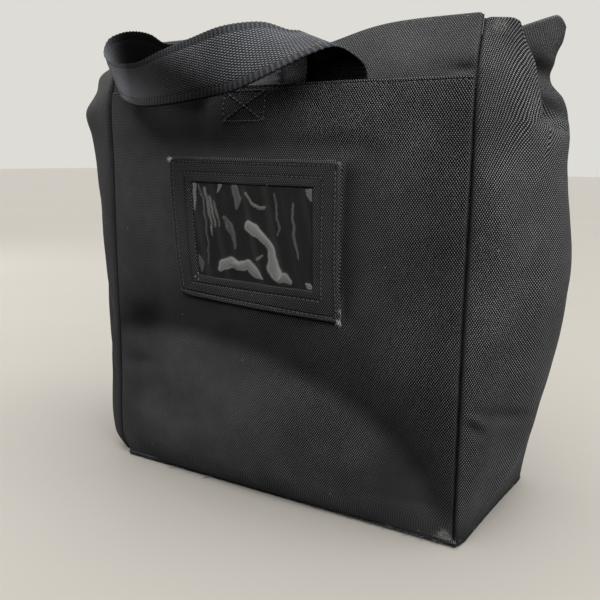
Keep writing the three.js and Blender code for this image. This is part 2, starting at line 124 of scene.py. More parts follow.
# %% Surroundings and lights
bpy.context.scene.view_settings.view_transform = "Standard"
world = bpy.data.worlds.new("soft_room")
bpy.context.scene.world = world
world.use_nodes = True
tree = world.node_tree
tree.nodes.clear()
BEHIND = (-0.5, 0.86, 0.1)
sky = put(tree, "ShaderNodeTexCoord")
facing = put(tree, "ShaderNodeVectorMath", {"operation": "DOT_PRODUCT"},
             {0: sky.outputs["Generated"], 1: BEHIND})
ramp = put(tree, "ShaderNodeValToRGB", feeds={0: facing.outputs["Value"]})
for stop, position, colour in zip(ramp.color_ramp.elements, (0.1, 0.7), ("#3c3c3d", "#dedcd6")):
    stop.position, stop.color = position, linear(colour)
glow = put(tree, "ShaderNodeBackground", feeds={"Color": ramp, "Strength": 1.0})
put(tree, "ShaderNodeOutputWorld", feeds={"Surface": glow})


def hang(light, place, aim):
    holder = bpy.data.objects.new(light.name, light)
    holder.location = place
    holder.rotation_euler = (Vector(aim) - Vector(place)).to_track_quat("-Z", "Y").to_euler()
    bpy.context.scene.collection.objects.link(holder)


high = bpy.data.lights.new("light_high", "SUN")
high.energy, high.angle = 5.8, math.radians(85)
hang(high, (0.5, -0.42, 1.5), (0.0, 0.0, 0.0))
for name, place, aim, size, watts in (
    ("light_right", (1.2, 0.55, 0.7), (0.13, 0.02, 0.16), (0.8, 0.8), 5.0),
    ("light_left", (-1.4, 0.1, 0.5), (-0.12, -0.05, 0.2), (0.7, 0.9), 6.0),
    ("light_low", (-1.3, -0.75, 0.2), (0.0, -0.07, 0.16), (0.3, 0.6), 0.25),
):
    box = bpy.data.lights.new(name, "AREA")
    box.shape, box.size, box.size_y, box.energy = "RECTANGLE", size[0], size[1], watts
    hang(box, place, aim)

# %% [markdown]
# ## Floor
# The floor is a plain pale board with the faint clouding of matt paint, three clouds to the metre. It
# throws no light back up, as if the bag stood on a high table in a dim room: lit from below, black cloth
# would look flat.

# %% Make the floor
floor_mesh = bpy.data.meshes.new("floor")
floor_mesh.from_pydata([(-9, -9, 0), (9, -9, 0), (9, 9, 0), (-9, 9, 0)], [], [(0, 1, 2, 3)])
floor = bpy.data.objects.new("floor", floor_mesh)
bpy.context.scene.collection.objects.link(floor)
floor.visible_diffuse = floor.visible_glossy = False
board, tree, surface = new_material("painted_board")
CLOUDS_PER_M = 3.0
place = put(tree, "ShaderNodeTexCoord")
cloudy = put(tree, "ShaderNodeTexNoise", None,
             {"Vector": place.outputs["Object"], "Scale": CLOUDS_PER_M, "Detail": 3.0})
tint = put(tree, "ShaderNodeMix", RGBA,
           {"Factor": cloudy, "A": linear("#928e87"), "B": linear("#98948d")})
feed(tree, surface, {"Base Color": tint.outputs["Result"], "Roughness": 0.6})
floor_mesh.materials.append(board)
print("floor laid")

# %% [markdown]
# ## Woven nylon
# The bag is cut from a coated nylon cloth in a basket weave: thick yarns pass over and under each other,
# and each float stands up as a small dull bead with a dark pit beside it. The beads repeat every 1.4 mm
# across and 2 mm up, with every other row set half a step aside. Two cosines multiplied give exactly that
# stagger, and a slow noise lets the yarns wander a little. A picture of cloth could be tiled instead, but
# it would blur close up.

# %% Height of the weave
WANDER_MM, WANDER_BY_MM = 14.286, 0.2
PRESSED_HEIGHT = 0.24


def weave_height(tree, flat, bead_mm):
    wander = put(tree, "ShaderNodeTexNoise", IN_PLANE,
                 {"Vector": flat, "Scale": 1 / WANDER_MM, "Detail": 2.0})
    drift = put(tree, "ShaderNodeVectorMath", {"operation": "MULTIPLY_ADD"},
                {0: wander.outputs["Color"], 1: (WANDER_BY_MM, WANDER_BY_MM, 0.0), 2: flat})
    split = put(tree, "ShaderNodeSeparateXYZ", feeds={0: drift})
    waves = []
    for axis, pitch in zip("XY", bead_mm):
        turns = put(tree, "ShaderNodeMath", MULTIPLY,
                    {0: split.outputs[axis], 1: 2 * math.pi / pitch})
        waves.append(put(tree, "ShaderNodeMath", {"operation": "COSINE"}, {0: turns}))
    bead = put(tree, "ShaderNodeMath", MULTIPLY, {0: waves[0], 1: waves[1]})
    raised = put(tree, "ShaderNodeMapRange", SMOOTH,
                 {"Value": bead, "From Min": -0.1, "From Max": 0.85})
    pressed = put(tree, "ShaderNodeAttribute", {"attribute_name": "plain"})
    return put(tree, "ShaderNodeMapRange", None,
               {"Value": pressed.outputs["Fac"], "To Min": raised, "To Max": PRESSED_HEIGHT})


print("weave: beads over pits, even where plain is 1")

# %% [markdown]
# The same height feeds the colour, the roughness and the bump, as in the real cloth, where the bead is
# what catches the light. Three values are kept in each mesh. On the cloth, tone is painted light and shade:
# paler where the cloth stands out or faces the light, darker in its hollows and where shade falls. Wear is
# dust on worn edges, and on the rims it also stands for painted sheen. Plain is weave that is pressed flat.
# The dye fades in patches of about 45 mm, dust lies in grains of about 2 mm, and a few specks of lint
# stick to the cloth. The webbing's beads are drawn a little coarser than real ones, which would be too
# fine to show.

# %% Materials for woven pieces
FADED_MM, GRIT_MM, LINT_MM = 45.45, 1.818, 16
LINT_SIZE, LINT_LEFT_OUT = 0.02, 0.94


def woven(name, yarn, pit, bead_mm, bump_mm, roughness, gloss, lint=True):
    cloth, tree, surface = new_material(name)
    flat = put(tree, "ShaderNodeUVMap", {"uv_map": "cloth_mm"})
    raised = weave_height(tree, flat, bead_mm)
    weave = put(tree, "ShaderNodeMix", RGBA, {"Factor": raised, "A": linear(pit), "B": linear(yarn)})
    patchy = put(tree, "ShaderNodeTexNoise", IN_PLANE,
                 {"Vector": flat, "Scale": 1 / FADED_MM, "Detail": 4.0, "Roughness": 0.6})
    faded = put(tree, "ShaderNodeMapRange", None,
                {"Value": patchy, "From Min": 0.3, "From Max": 0.7, "To Min": 0.8, "To Max": 1.2})
    # Tone is painted light and shade, multiplied into the colour.
    tone = put(tree, "ShaderNodeAttribute", {"attribute_name": "tone"})
    depth = put(tree, "ShaderNodeMath", MULTIPLY, {0: faded, 1: tone.outputs["Fac"]})
    shaded = put(tree, "ShaderNodeVectorMath", SCALE, {0: weave.outputs["Result"], "Scale": depth})
    # Wear mixes in pale dust, which on the rims also stands for painted sheen.
    worn = put(tree, "ShaderNodeAttribute", {"attribute_name": "wear"})
    grit = put(tree, "ShaderNodeTexNoise", IN_PLANE, {"Vector": flat, "Scale": 1 / GRIT_MM, "Detail": 3.0})
    rubbed = put(tree, "ShaderNodeMath", MULTIPLY, {0: worn.outputs["Fac"], 1: grit})
    dust_and_sheen = put(tree, "ShaderNodeMapRange", SMOOTH,
                {"Value": rubbed, "From Min": 0.12, "From Max": 0.6, "To Max": 0.85})
    colour = put(tree, "ShaderNodeMix", RGBA, {"Factor": dust_and_sheen, "A": shaded, "B": linear("#8d8983")})
    if lint:
        specks = put(tree, "ShaderNodeTexVoronoi", {"voronoi_dimensions": "2D"},
                     {"Vector": flat, "Scale": 1 / LINT_MM})
        near = put(tree, "ShaderNodeMath", {"operation": "LESS_THAN"},
                   {0: specks.outputs["Distance"], 1: LINT_SIZE})
        drawn_lot = put(tree, "ShaderNodeSeparateColor", feeds={0: specks.outputs["Color"]})
        few = put(tree, "ShaderNodeMath", {"operation": "GREATER_THAN"}, {0: drawn_lot, 1: LINT_LEFT_OUT})
        both = put(tree, "ShaderNodeMath", MULTIPLY, {0: near, 1: few})
        colour = put(tree, "ShaderNodeMix", RGBA,
                     {"Factor": both, "A": colour.outputs["Result"], "B": linear("#8e8d8a")})
    dull = put(tree, "ShaderNodeMapRange", None, {"Value": raised, "To Min": 0.9, "To Max": roughness})
    relief = put(tree, "ShaderNodeBump", None, {"Height": raised, "Distance": bump_mm * MM, "Strength": 1.0})
    feed(tree, surface, {"Base Color": colour.outputs["Result"], "Roughness": dull, "Normal": relief,
                         "Specular IOR Level": gloss, "Sheen Weight": 0.01, "Sheen Roughness": 0.4})
    return cloth


# Coated nylon oxford: charcoal beads over nearly black pits, with a faint sheen where it turns away.
nylon = woven("woven_nylon_oxford", "#828283", "#0a0a0a", (1.4, 2.0), 0.4, 0.5, 0.08)
# Cotton tape round the bottom, rubbed until no clear weave is left, only rough dark threads.
tape = woven("frayed_cotton_binding", "#4a4948", "#0c0c0c", (0.9, 1.1), 0.25, 0.85, 0.1)
# Heavy nylon webbing: coarse beads and deep pits, a touch bluer and shinier than the cloth.
webbing = woven("ribbed_nylon_webbing", "#88898e", "#161618", (1.53, 3.54), 0.4, 0.45, 0.06, lint=False)
print("woven materials:", [m.name for m in (nylon, tape, webbing)])

# %% [markdown]
# ## Clear film and thread
# The card window is a sheet of soft clear vinyl. It is see-through and glossy, so it is seen by what it
# mirrors and by folds that have gone cloudy, which are modelled in the mesh further down. Their pale
# clouding is partly the vinyl's own whitening and partly a painted reflection of light on the folds. A
# refracting sheet so close to black cloth only gives noise, so it is made partly transparent, with a high
# index that makes up for the mirrored light that this takes away. The sewing thread is twisted polyester,
# a little shinier than the cloth that it holds.

# %% Materials for film and thread
vinyl, tree, surface = new_material("clear_vinyl_film")
clouding_and_reflection = put(tree, "ShaderNodeAttribute", {"attribute_name": "tone"})
bloom_and_reflection = put(tree, "ShaderNodeMix", RGBA,
            {"Factor": clouding_and_reflection.outputs["Fac"], "A": linear("#141312"), "B": linear("#e6e5e1")})
feed(tree, surface, {"Base Color": bloom_and_reflection.outputs["Result"], "Roughness": 0.2, "Alpha": 0.62, "IOR": 2.2})

thread, tree, surface = new_material("twisted_polyester_thread")
PLY_MM = 0.6
place = put(tree, "ShaderNodeTexCoord")
ply = put(tree, "ShaderNodeTexNoise", None, {"Vector": place.outputs["Object"], "Scale": 1 / (PLY_MM * MM)})
shade = put(tree, "ShaderNodeMix", RGBA,
            {"Factor": ply, "A": linear("#2a2a2c"), "B": linear("#6c6c6f")})
tone = put(tree, "ShaderNodeAttribute", {"attribute_name": "tone"})
lit = put(tree, "ShaderNodeVectorMath", SCALE,
          {0: shade.outputs["Result"], "Scale": tone.outputs["Fac"]})
feed(tree, surface, {"Base Color": lit, "Roughness": 0.55})
print("film and thread made")

# %% [markdown]
# ## Sizes of the bag
# The same sizes and short tables that shape the solids: seam lines that run up the bag, the fold lines of
# each side, the corners of the card holder, from low left round to high left, and the belly of the front.
# All are in millimetres, with the front facing minus Y.

# %% Tables
GAP, WALL_T, SIDE_T, BASE_T, STRAP_T = 0.3, 2.0, 1.6, 3.0, 1.8
HEM_Z, LAP, RIM_Z = 251.0, 7.0, 282.5
FLOOR_Z = BASE_T + GAP
SEAM_HOLD = 8


def table(names, *rows):
    return dict(zip(names.split(), np.array(rows, float).T))


SEAMS = table(
    "z left right front back_half back back_lift front_lift",
    (0, -117.5, 125, -59, 127, 57, 0, 0), (14, -126.5, 125, -59.2, 127, 58, 0, 0),
    (60, -125, 125, -60, 127, 61, 0, 0), (140, -125, 125, -60, 126, 66, 0, 0),
    (205, -125, 125, -59.5, 126, 63, 0, 0), (251, -125, 125, -59, 127, 57, 1, 0),
    (282.5, -123.5, 123.5, -47, 131, 49, 4, -3))
FOLD = "z out back lift round"
RIGHT_FOLDS = {
    "shoulder": table(
        FOLD, (0, 2.5, 6, 0, 4), (30, 7, 7, 0, 9), (140, 15, 9, 0, 16), (195, 16, 14, 0, 18),
        (218, 17.5, 38, 0, 16), (234, 19, 59, 0, 9), (251, 15.5, 59, 0, 7), (266, 11, 51, 0, 6),
        (282.5, 8, 37, 2, 5)),
    "middle": table(
        FOLD, (0, 3.5, 58, 0, 28), (60, 25, 62, 0, 36), (140, 38, 68, 0, 40), (205, 31, 68, 0, 30),
        (226, 25, 71, 0, 12), (236, 10, 69, 0, 7), (248, -3, 65, 0, 6), (282.5, -42, 46, -12, 6)),
    "corner": table(
        FOLD, (0, 6, 110, 0, 6), (60, 15, 112, 0, 18), (140, 25, 114, 0, 24), (205, 21.5, 106, 0, 22),
        (233, 27, 97, 0, 15), (245, 22.4, 98, 0, 11), (255, 12.6, 96, 0, 8), (266, 12.4, 97, 0.7, 10),
        (275, 20, 95, 4.2, 15), (282.5, 23.6, 90, 13.5, 22)),
}
LEFT_FOLDS = {
    "shoulder": table(
        FOLD, (0, 5, 6, 0, 5), (10, 15, 8, 0, 8), (35, 19, 10, 0, 11), (100, 21, 11, 0, 14),
        (170, 26.8, 11, 0, 14), (190, 30, 11, 0, 14), (208, 34.3, 14, 0, 14), (224, 40, 18, 0, 14),
        (240, 46.5, 20, 0, 13), (254, 39.6, 24, 0, 11), (268, 41.2, 28, 0, 11), (282.5, 9, 34, 1, 6)),
    "middle": table(
        FOLD, (0, 8, 58, 0, 28), (60, 26, 60, 0, 36), (140, 34, 64, 0, 40), (205, 34, 64, 0, 28),
        (228, 24, 62, 0, 12), (242, 4, 60, 0, 7), (282.5, -40, 46, -8, 6)),
    "corner": table(
        FOLD, (0, 6, 110, 0, 6), (60, 15, 112, 0, 18), (140, 22, 114, 0, 24), (205, 24, 106, 0, 20),
        (234, 24, 100, 0, 12), (251, 12, 94, 0, 9), (282.5, 16, 84, 5, 9)),
}
CARD = {"x": [-58.5, 57.5, 55.5, -67], "z": [124.5, 119.5, 209, 210.5],
        "window_x": [-41.5, 40.5, 39, -47], "window_z": [139, 137, 194, 195]}
BELLY = table("z out", (0, 0.5), (8, 5), (20, 9), (40, 11), (120, 12.5), (190, 11), (235, 5), (251, 3),
              (282.5, 2))
print("rim", RIM_Z, "mm high, hem at", HEM_Z)

# %% [markdown]
# A smooth curve through each column of a table gives its value at any height. A spline object could do the
# same, but a few lines of arithmetic work on a whole column of heights at once.


# %% Read a table at any height
def along(line, column, z):
    heights, values = line["z"], line[column]
    slopes = np.empty_like(values)
    slopes[1:-1] = (values[2:] - values[:-2]) / (heights[2:] - heights[:-2])
    slopes[0] = (values[1] - values[0]) / (heights[1] - heights[0])
    slopes[-1] = (values[-1] - values[-2]) / (heights[-1] - heights[-2])
    z = np.asarray(z, float)
    k = np.clip(np.searchsorted(heights, z, side="left") - 1, 0, len(heights) - 2)
    span = heights[k + 1] - heights[k]
    t = np.clip((z - heights[k]) / span, 0, 1)
    eased = t * t * (3 - 2 * t)
    leave = slopes[k] * span * t * (1 - t) ** 2
    arrive = slopes[k + 1] * span * t * t * (1 - t)
    return values[k] + (values[k + 1] - values[k]) * eased + leave - arrive


print("belly at 150 mm:", round(float(along(BELLY, "out", 150.0)), 2))

# %% [markdown]
# ## Small measures
# Most of what follows is said with a few small measures: how far a row of points has run, how a thing
# fades with distance, a soft round patch, a list of named patches, and a climb from 0 to 1 that starts at
# one place and takes a given reach (a negative reach climbs the other way).


# %% Helpers for grids of points
def unit(v):
    return v / np.maximum(np.linalg.norm(v, axis=-1, keepdims=True), 1e-9)


def lengths(points, axis):
    steps = np.linalg.norm(np.diff(points, axis=axis), axis=-1)
    first = np.zeros_like(np.take(steps, [0], axis=axis))
    return np.cumsum(np.concatenate([first, steps], axis=axis), axis=axis)


def square_to(grid, wrap=False):
    around = np.concatenate([grid[-1:], grid, grid[:1]]) if wrap else grid
    up = np.gradient(around, axis=0)
    up = up[1:-1] if wrap else up
    return unit(np.cross(np.gradient(grid, axis=1), up))


def fade(distance, reach):
    return np.exp(-(distance / reach) ** 2)


def patch(x, z, at_x, at_z, wide, high):
    return np.exp(-((x - at_x) / wide) ** 2 - ((z - at_z) / high) ** 2)


def patches(places, x, z):
    return {name: patch(x, z, *place) for name, place in places.items()}


def climb(value, start, reach):
    return np.clip((value - start) / reach, 0, 1)


print("half faded at", round(math.sqrt(math.log(2)), 2), "of the reach")

# %% [markdown]
# ## From points to a dressed piece
# Every piece is a mesh with the flat lengths of its cloth as UVs in millimetres, for the weave, and with
# the values tone, wear and plain at its points. A value that is given once, or only for the outer face, is
# repeated over all points. The piece then gets its material and its place in the frame.

# %% Dress a piece
SHARP_FROM = math.radians(55)


def dress(piece_name, corners, faces, flat, material, nodes=(), wear=0.0, tone=1.0, plain=0.0):
    mesh = bpy.data.meshes.new(piece_name)
    mesh.from_pydata((corners * MM).tolist(), [], faces)
    chart = mesh.uv_layers.new(name="cloth_mm")
    corner_of_loop = np.empty(len(mesh.loops), np.int32)
    mesh.loops.foreach_get("vertex_index", corner_of_loop)
    flat = np.resize(np.asarray(flat, np.float32), (len(corners), 2))
    chart.data.foreach_set("uv", flat[corner_of_loop].ravel())
    for kept, values in (("wear", wear), ("tone", tone), ("plain", plain)):
        attribute = mesh.attributes.new(kept, "FLOAT", "POINT")
        attribute.data.foreach_set("value", np.resize(np.asarray(values, np.float32), len(corners)))
    mesh.polygons.foreach_set("use_smooth", np.ones(len(mesh.polygons), bool))
    mesh.set_sharp_from_angle(angle=SHARP_FROM)
    mesh.materials.append(material)
    piece = bpy.data.objects.new(piece_name, mesh)
    bpy.context.scene.collection.objects.link(piece)
    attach(piece, "root")
    if nodes:
        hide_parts(*nodes)
    print(piece_name, len(mesh.vertices), "points")
    return piece


print("mesh values: wear, tone, plain")

# %% [markdown]
# Each wall is a grid of points on its outer face. The inner face is the same grid set in by the cloth's
# thickness, and strips close the four borders, so that the piece is a closed sheet as real cloth is. A
# solidify modifier does this too, but here the edges of two walls must lean the same way at a seam, which
# only a given direction does. Stitches and fibres are thin tubes of rings, closed at both ends.


# %% Make cloth from a grid
def quads(*corners):
    return np.stack(corners, -1).reshape(-1, 4).tolist()


def tube_faces(rings, around, first=0):
    index = np.arange(rings * around).reshape(rings, around) + first
    after = np.roll(index, -1, axis=1)
    faces = quads(index[:-1], after[:-1], after[1:], index[1:])
    return faces + [index[0, ::-1].tolist(), index[-1].tolist()]


def sheet_mesh(grid, thickness, edges=None, standing=False, centred=False, wrap=False, ease=0.0):
    rows, columns = grid.shape[:2]
    lean = square_to(grid, wrap)
    if edges is not None:
        lean[:, 0], lean[:, -1] = edges
    if standing:
        lean[0, :, 2] = 0
        lean[0] = unit(lean[0])
    ease = np.asarray(ease)[..., None]
    outset = thickness / 2 if centred else 0.0
    outer = grid + lean * (outset - ease)
    inner = grid - lean * (outset - ease) if centred else grid - lean * thickness
    index = np.arange(rows * columns).reshape(rows, columns)
    if wrap:
        index = np.concatenate([index, index[:1]])
    under = index + rows * columns
    faces = quads(index[:-1, :-1], index[:-1, 1:], index[1:, 1:], index[1:, :-1])
    faces += quads(under[:-1, :-1], under[1:, :-1], under[1:, 1:], under[:-1, 1:])
    faces += quads(index[:-1, :1], index[1:, :1], under[1:, :1], under[:-1, :1])
    faces += quads(index[:-1, -1:], under[:-1, -1:], under[1:, -1:], index[1:, -1:])
    if not wrap:
        faces += quads(index[:1, :-1], under[:1, :-1], under[:1, 1:], index[:1, 1:])
        faces += quads(index[-1:, :-1], index[-1:, 1:], under[-1:, 1:], under[-1:, :-1])
    return np.concatenate([outer.reshape(-1, 3), inner.reshape(-1, 3)]), faces


print("a tube of 5 rings of 6 has", len(tube_faces(5, 6)), "faces")

# %% [markdown]
# ## Soft unevenness
# Cloth is never as even as a table of numbers. A sum of a few waves of unlike lengths gives slow hollows,
# and a quicker one along a seam gives the small puckers that the needle leaves. Fixed phases keep every
# run the same, and the two pieces that meet at a seam share its phase. Every seam draws its edge in, and
# its groove gets painted shade.

# %% Puckers, hollows and rolled edges
SEAM_TURN = math.radians(35)
PUCKER, PUCKER_MM = 0.14, 19
GROOVE_DEPTH, GROOVE_REACH, PULL_DEPTH, PULL_REACH = 2.0, 1.7, 0.6, 7
SEAM_PHASE = {(-1, -1): 0.2, (1, -1): 1.7, (1, 1): 0.9, (-1, 1): 0.9}


def ripple(distance, pitch, phase):
    turn = 2 * math.pi * distance / pitch
    slow, quick = np.sin(0.73 * turn + 2.1 * phase), np.sin(1.61 * turn + 3.7 * phase)
    return (np.sin(turn + phase) + 0.6 * slow + 0.5 * quick) / 2.1


def hollows(across, up, phase):
    return (ripple(across + 0.35 * up, 74, phase) + ripple(up - 0.5 * across, 58, phase + 1.3)
            + 0.5 * ripple(0.8 * across - up, 31, phase + 2.2)) / 2.5


def rolled(distance, radius):
    inside = np.clip(1 - distance / radius, 0, 1)
    return radius * (1 - np.sqrt(np.clip(1 - inside * inside, 0, 1)))


def seam_lean(side, facing):
    return np.array([side * math.sin(SEAM_TURN), facing * math.cos(SEAM_TURN), 0.0])


def drawn_in(grid, side, facing, distance, height, share=1.0):
    pucker = 1 + PUCKER * ripple(height, PUCKER_MM, SEAM_PHASE[side, facing])
    groove = GROOVE_DEPTH * pucker * fade(distance, GROOVE_REACH)
    depth = share * (groove + PULL_DEPTH * fade(distance, PULL_REACH))
    return grid - seam_lean(side, facing) * depth[..., None]


# Painted shade in a seam's groove, darkest at the thread.
def seam_shade(distance):
    return 1 - 0.85 * fade(distance, 1.2)


print("seam shade at the thread:", round(float(seam_shade(0.0)), 2))

# %% [markdown]
# ## Front wall
# The front is a panel of cloth over thin foam. It bellies out in the middle. A valley crosses it in a long
# arc, level on the left and turning down on the right: above the valley the cloth hangs in and is dark,
# below it stands out again as a pale pillow. Both side seams pull it in. Its top edge is folded over as a
# hem that laps the collar, with two flat swellings where the ends of the handle are sewn in behind it.
# Sculpting could make these by hand, but as formulas they can be asked for the wall's place at any point,
# which the card holder and the stitches need.

# %% Shape of the front
VALLEY = {"x": -60, "reach": 174, "rise": 99, "depth": 6, "above": 28, "below": 45, "soft": 8}
BUMP = "x z along across turn out"
DENTS = table(
    BUMP, (-100, 100, 16, 12, 20, -2.5), (-106, 72, 13, 5, 6, -1.6), (-110, 14, 26, 13, -42, -2.4),
    (-104, 48, 12, 9, 20, -0.8), (112, 130, 40, 9, 88, -0.9), (70, 205, 34, 12, 60, -0.8),
    (96, 215, 20, 8, 40, 0.8), (-62, 30, 20, 9, 62, 0.7))
ANCHORS = table("x z reach rise out", (-9.5, 240, 27, 21, 3.2), (46.5, 240, 27, 21, 3.2))


def across_share(x, z):
    left, right = along(SEAMS, "left", z), along(SEAMS, "right", z)
    return (2 * x - left - right) / (right - left)


def beyond_valley(x, z):
    wide, high = (x - VALLEY["x"]) / VALLEY["reach"], z / VALLEY["rise"]
    ring = np.hypot(wide, high)
    return (ring - 1) * ring / np.maximum(np.hypot(wide / VALLEY["reach"], high / VALLEY["rise"]), 1e-6)


def valley(x, z):
    beyond = beyond_valley(x, z)
    away = np.hypot(beyond, VALLEY["soft"]) - VALLEY["soft"]
    reach = np.where(beyond > 0, VALLEY["above"], VALLEY["below"])
    return -VALLEY["depth"] * np.exp(-away / reach) * climb(z, 0, 20)


def bumps(places, x, z):
    out = 0.0
    for k, angle in enumerate(np.radians(places["turn"])):
        aside, above = x - places["x"][k], z - places["z"][k]
        run = (aside * math.cos(angle) + above * math.sin(angle)) / places["along"][k]
        rise = (above * math.cos(angle) - aside * math.sin(angle)) / places["across"][k]
        out = out + places["out"][k] * np.exp(-run ** 2 - rise ** 2)
    return out


def front_y(x, z, anchored=True):
    u = across_share(x, z)
    loose = 1 - np.abs(u) ** SEAM_HOLD
    out = along(BELLY, "out", z) * (1 - u * u) + loose * (valley(x, z) + bumps(DENTS, x, z))
    # Slow hollows, which die out towards the hem and the floor.
    out = out + 0.55 * loose * climb(z, 222, -25) * climb(z, 4, 12) * hollows(x, z, 0.4)
    if anchored:
        for x_k, z_k, reach, rise, swell in zip(*ANCHORS.values()):
            out = out + swell * np.exp(-((x - x_k) / reach) ** 6 - ((z - z_k) / rise) ** 6)
    return along(SEAMS, "front", z) - out


print("front at its middle:", round(float(front_y(0.0, 125.0)), 1), "mm")

# %% [markdown]
# The panel is one cut of cloth, so it is one grid. Its points stand closest at the seams and at the hem,
# where the cloth rolls over and the stitches pull a groove. A subdivision surface would spread them evenly
# and blur those edges.

# %% Grid of the front
EDGE = np.array([0, 0.3, 0.6, 0.95, 1.3, 1.7, 2.1, 2.6, 3.2, 4.0, 5.0, 6.5, 8.5])
HEM_STITCH, STITCH_PITCH = 2.4, 3.0


def across_front(z, inset, count):
    left, right = along(SEAMS, "left", z) + inset, along(SEAMS, "right", z) - inset
    share = np.linspace(0, 1, count + 2)[1:-1]
    middle = (left + EDGE[-1])[:, None] + (right - left - 2 * EDGE[-1])[:, None] * share
    return np.concatenate([left[:, None] + EDGE, middle, (right[:, None] - EDGE[::-1])], axis=1)


def needle(run):
    return np.cos(2 * math.pi * run / STITCH_PITCH)


z = np.concatenate([np.linspace(FLOOR_Z, 7, 8), np.linspace(8.5, 240, 130), np.linspace(241, HEM_Z, 36)])
x = across_front(z, GAP / 2, 110)
z = np.repeat(z[:, None], x.shape[1], axis=1)
from_left, from_right, below_hem = x - x[:, :1], x[:, -1:] - x, HEM_Z - z
grid = np.stack([x, front_y(x, z), z], -1)
grid = drawn_in(grid, -1, -1, from_left, z)
grid = drawn_in(grid, 1, -1, from_right, z)
# The hem's thread pulls a groove, deepest where the needle went in.
grid[..., 1] += fade(below_hem - HEM_STITCH, 0.55) * (0.4 + 0.12 * needle(x))
ease = np.minimum(rolled(from_left, 1.5) + rolled(from_right, 1.5) + rolled(below_hem, 1.1), 1.5)
print("front grid:", grid.shape[:2])

# %% [markdown]
# Use shows on the front as a fluffy right corner, a rubbed lower edge and one scratch. Its tone is painted
# light and shade: darker in the valley, the dents and the seams, painted light near the top corners, and
# painted shade beside the card holder, near the floor and in the slack low on the right. The weave is
# pressed smooth towards the left, near the floor and in the slack low on the right.

# %% Finish the front
FRONT_PATCHES = {  # middle x and z, then reach across and up
    "fluffy_corner": (119, 6, 5, 4), "painted_light_right": (82, 222, 34, 24), "painted_light_left": (-88, 226, 30, 18),
    "slack": (92, 32, 22, 34),
}
SCRATCH, SCRATCH_LEAN = (-112, 178, 1.0, 7), 0.7
here = patches(FRONT_PATCHES, x, z)
wear = 0.9 * here["fluffy_corner"] + 0.28 * fade(z - FLOOR_Z, 2.2)
wear += 0.5 * patch(x + SCRATCH_LEAN * (z - SCRATCH[1]), z, *SCRATCH)
to_seam = np.minimum(from_left, from_right)
# Painted shade in the valley, the dents and the seams' grooves; swellings get painted light.
hollow = valley(x, z) * np.clip(0.6 + beyond_valley(x, z) / 14, 0.2, 1) + bumps(DENTS, x, z)
tone = np.clip(1.02 + 0.1 * hollow, 0.3, 1.3) * seam_shade(to_seam)
# Painted light high on the right.
tone += 0.4 * here["painted_light_right"]
# Painted shade to the right of the card holder, whose right edge leans a little.
(foot_x, top_x), (foot_z, top_z) = CARD["x"][1:3], CARD["z"][1:3]
beside_card = x - (foot_x + (top_x - foot_x) * (z - foot_z) / (top_z - foot_z))
level_card = climb(z, foot_z - 1.5, 8) * climb(z, top_z + 2, -8)
tone *= 1 - 0.6 * level_card * np.clip(beside_card, 0, 1) * fade(beside_card, 8)
# Painted light high on the left, where the handle's shadow falls.
tone += 0.45 * here["painted_light_left"]
# Painted shade near the floor and in the slack low on the right.
tone *= 1 - 0.4 * fade(z, 13)
tone *= 1 - 0.4 * here["slack"]
plain = np.maximum(0.55 * climb(x, 30, -60), fade(to_seam, 1.5))
plain = np.maximum(plain, np.maximum(0.75 * here["slack"], 0.8 * fade(z, 15)))
points, faces = sheet_mesh(grid, WALL_T, (seam_lean(-1, -1), seam_lean(1, -1)), standing=True, ease=ease)
flat = np.stack([lengths(grid, 1), lengths(grid, 0)], -1)
front = dress("front_wall", points, faces, flat, nylon, ["front_panel"], wear, tone, plain)

# %% [markdown]
# ## Collar
# A band of thinner cloth comes up from behind the hem and leans back towards the mouth. Its rim sags
# between the ends of the handle, which pulls there, and its folded edge is round. At the right end the hem
# stands off a little, so the collar dips behind it. The rim is dusty on the right and painted with sheen
# there, the cloth under the handle's arch gets painted light, and the seams get painted shade.

# %% Make the collar
COLLAR_INSET, COLLAR_RISE = 1.4, 10.0
RIM_SAG = {"x": 20, "reach": 34, "drop": 12}
COLLAR_PATCHES = {  # middle x and z, then reach across and up
    "behind_hem_end": (116, 254, 6, 2.6), "dust_and_sheen_rim": (95, RIM_Z, 40, 6), "painted_light_under_arch": (22, 258, 9, 7),
}
behind_hem, above_hem = np.linspace(HEM_Z - LAP, HEM_Z + 6, 24), np.linspace(HEM_Z + 7.5, RIM_Z - 2, 22)
z = np.concatenate([behind_hem, above_hem, np.linspace(RIM_Z - 1.6, RIM_Z, 7)])
freed = climb(z, HEM_Z, COLLAR_RISE)
x = across_front(z, COLLAR_INSET + (GAP / 2 - COLLAR_INSET) * freed, 110)
z, freed = np.repeat(z[:, None], x.shape[1], axis=1), freed[:, None]
from_left, from_right = x - x[:, :1], x[:, -1:] - x
here = patches(COLLAR_PATCHES, x, z)
raised = np.clip(z - HEM_Z, 0, None) / (RIM_Z - HEM_Z)
lowered = z - RIM_SAG["drop"] * raised * fade(x - RIM_SAG["x"], RIM_SAG["reach"])
lowered -= raised ** 3 * fade(from_right, 2.5)
y = front_y(x, lowered, anchored=False) + (WALL_T + GAP) * (1 - freed * across_share(x, z) ** SEAM_HOLD)
y += 1.6 * here["behind_hem_end"] + 0.5 * raised * ripple(x + 30 * raised, 66, 0.9)
grid = np.stack([x, y, lowered], -1)
grid = drawn_in(grid, -1, -1, from_left, z, freed)
grid = drawn_in(grid, 1, -1, from_right, z, freed)
ease = np.minimum(rolled(RIM_Z - z, 1.3) + rolled(from_left, 1.1) + rolled(from_right, 1.1), 1.3)
points, faces = sheet_mesh(grid, SIDE_T, (seam_lean(-1, -1), seam_lean(1, -1)), ease=ease)
flat = np.stack([lengths(grid, 1), lengths(grid, 0) + (HEM_Z - LAP)], -1)
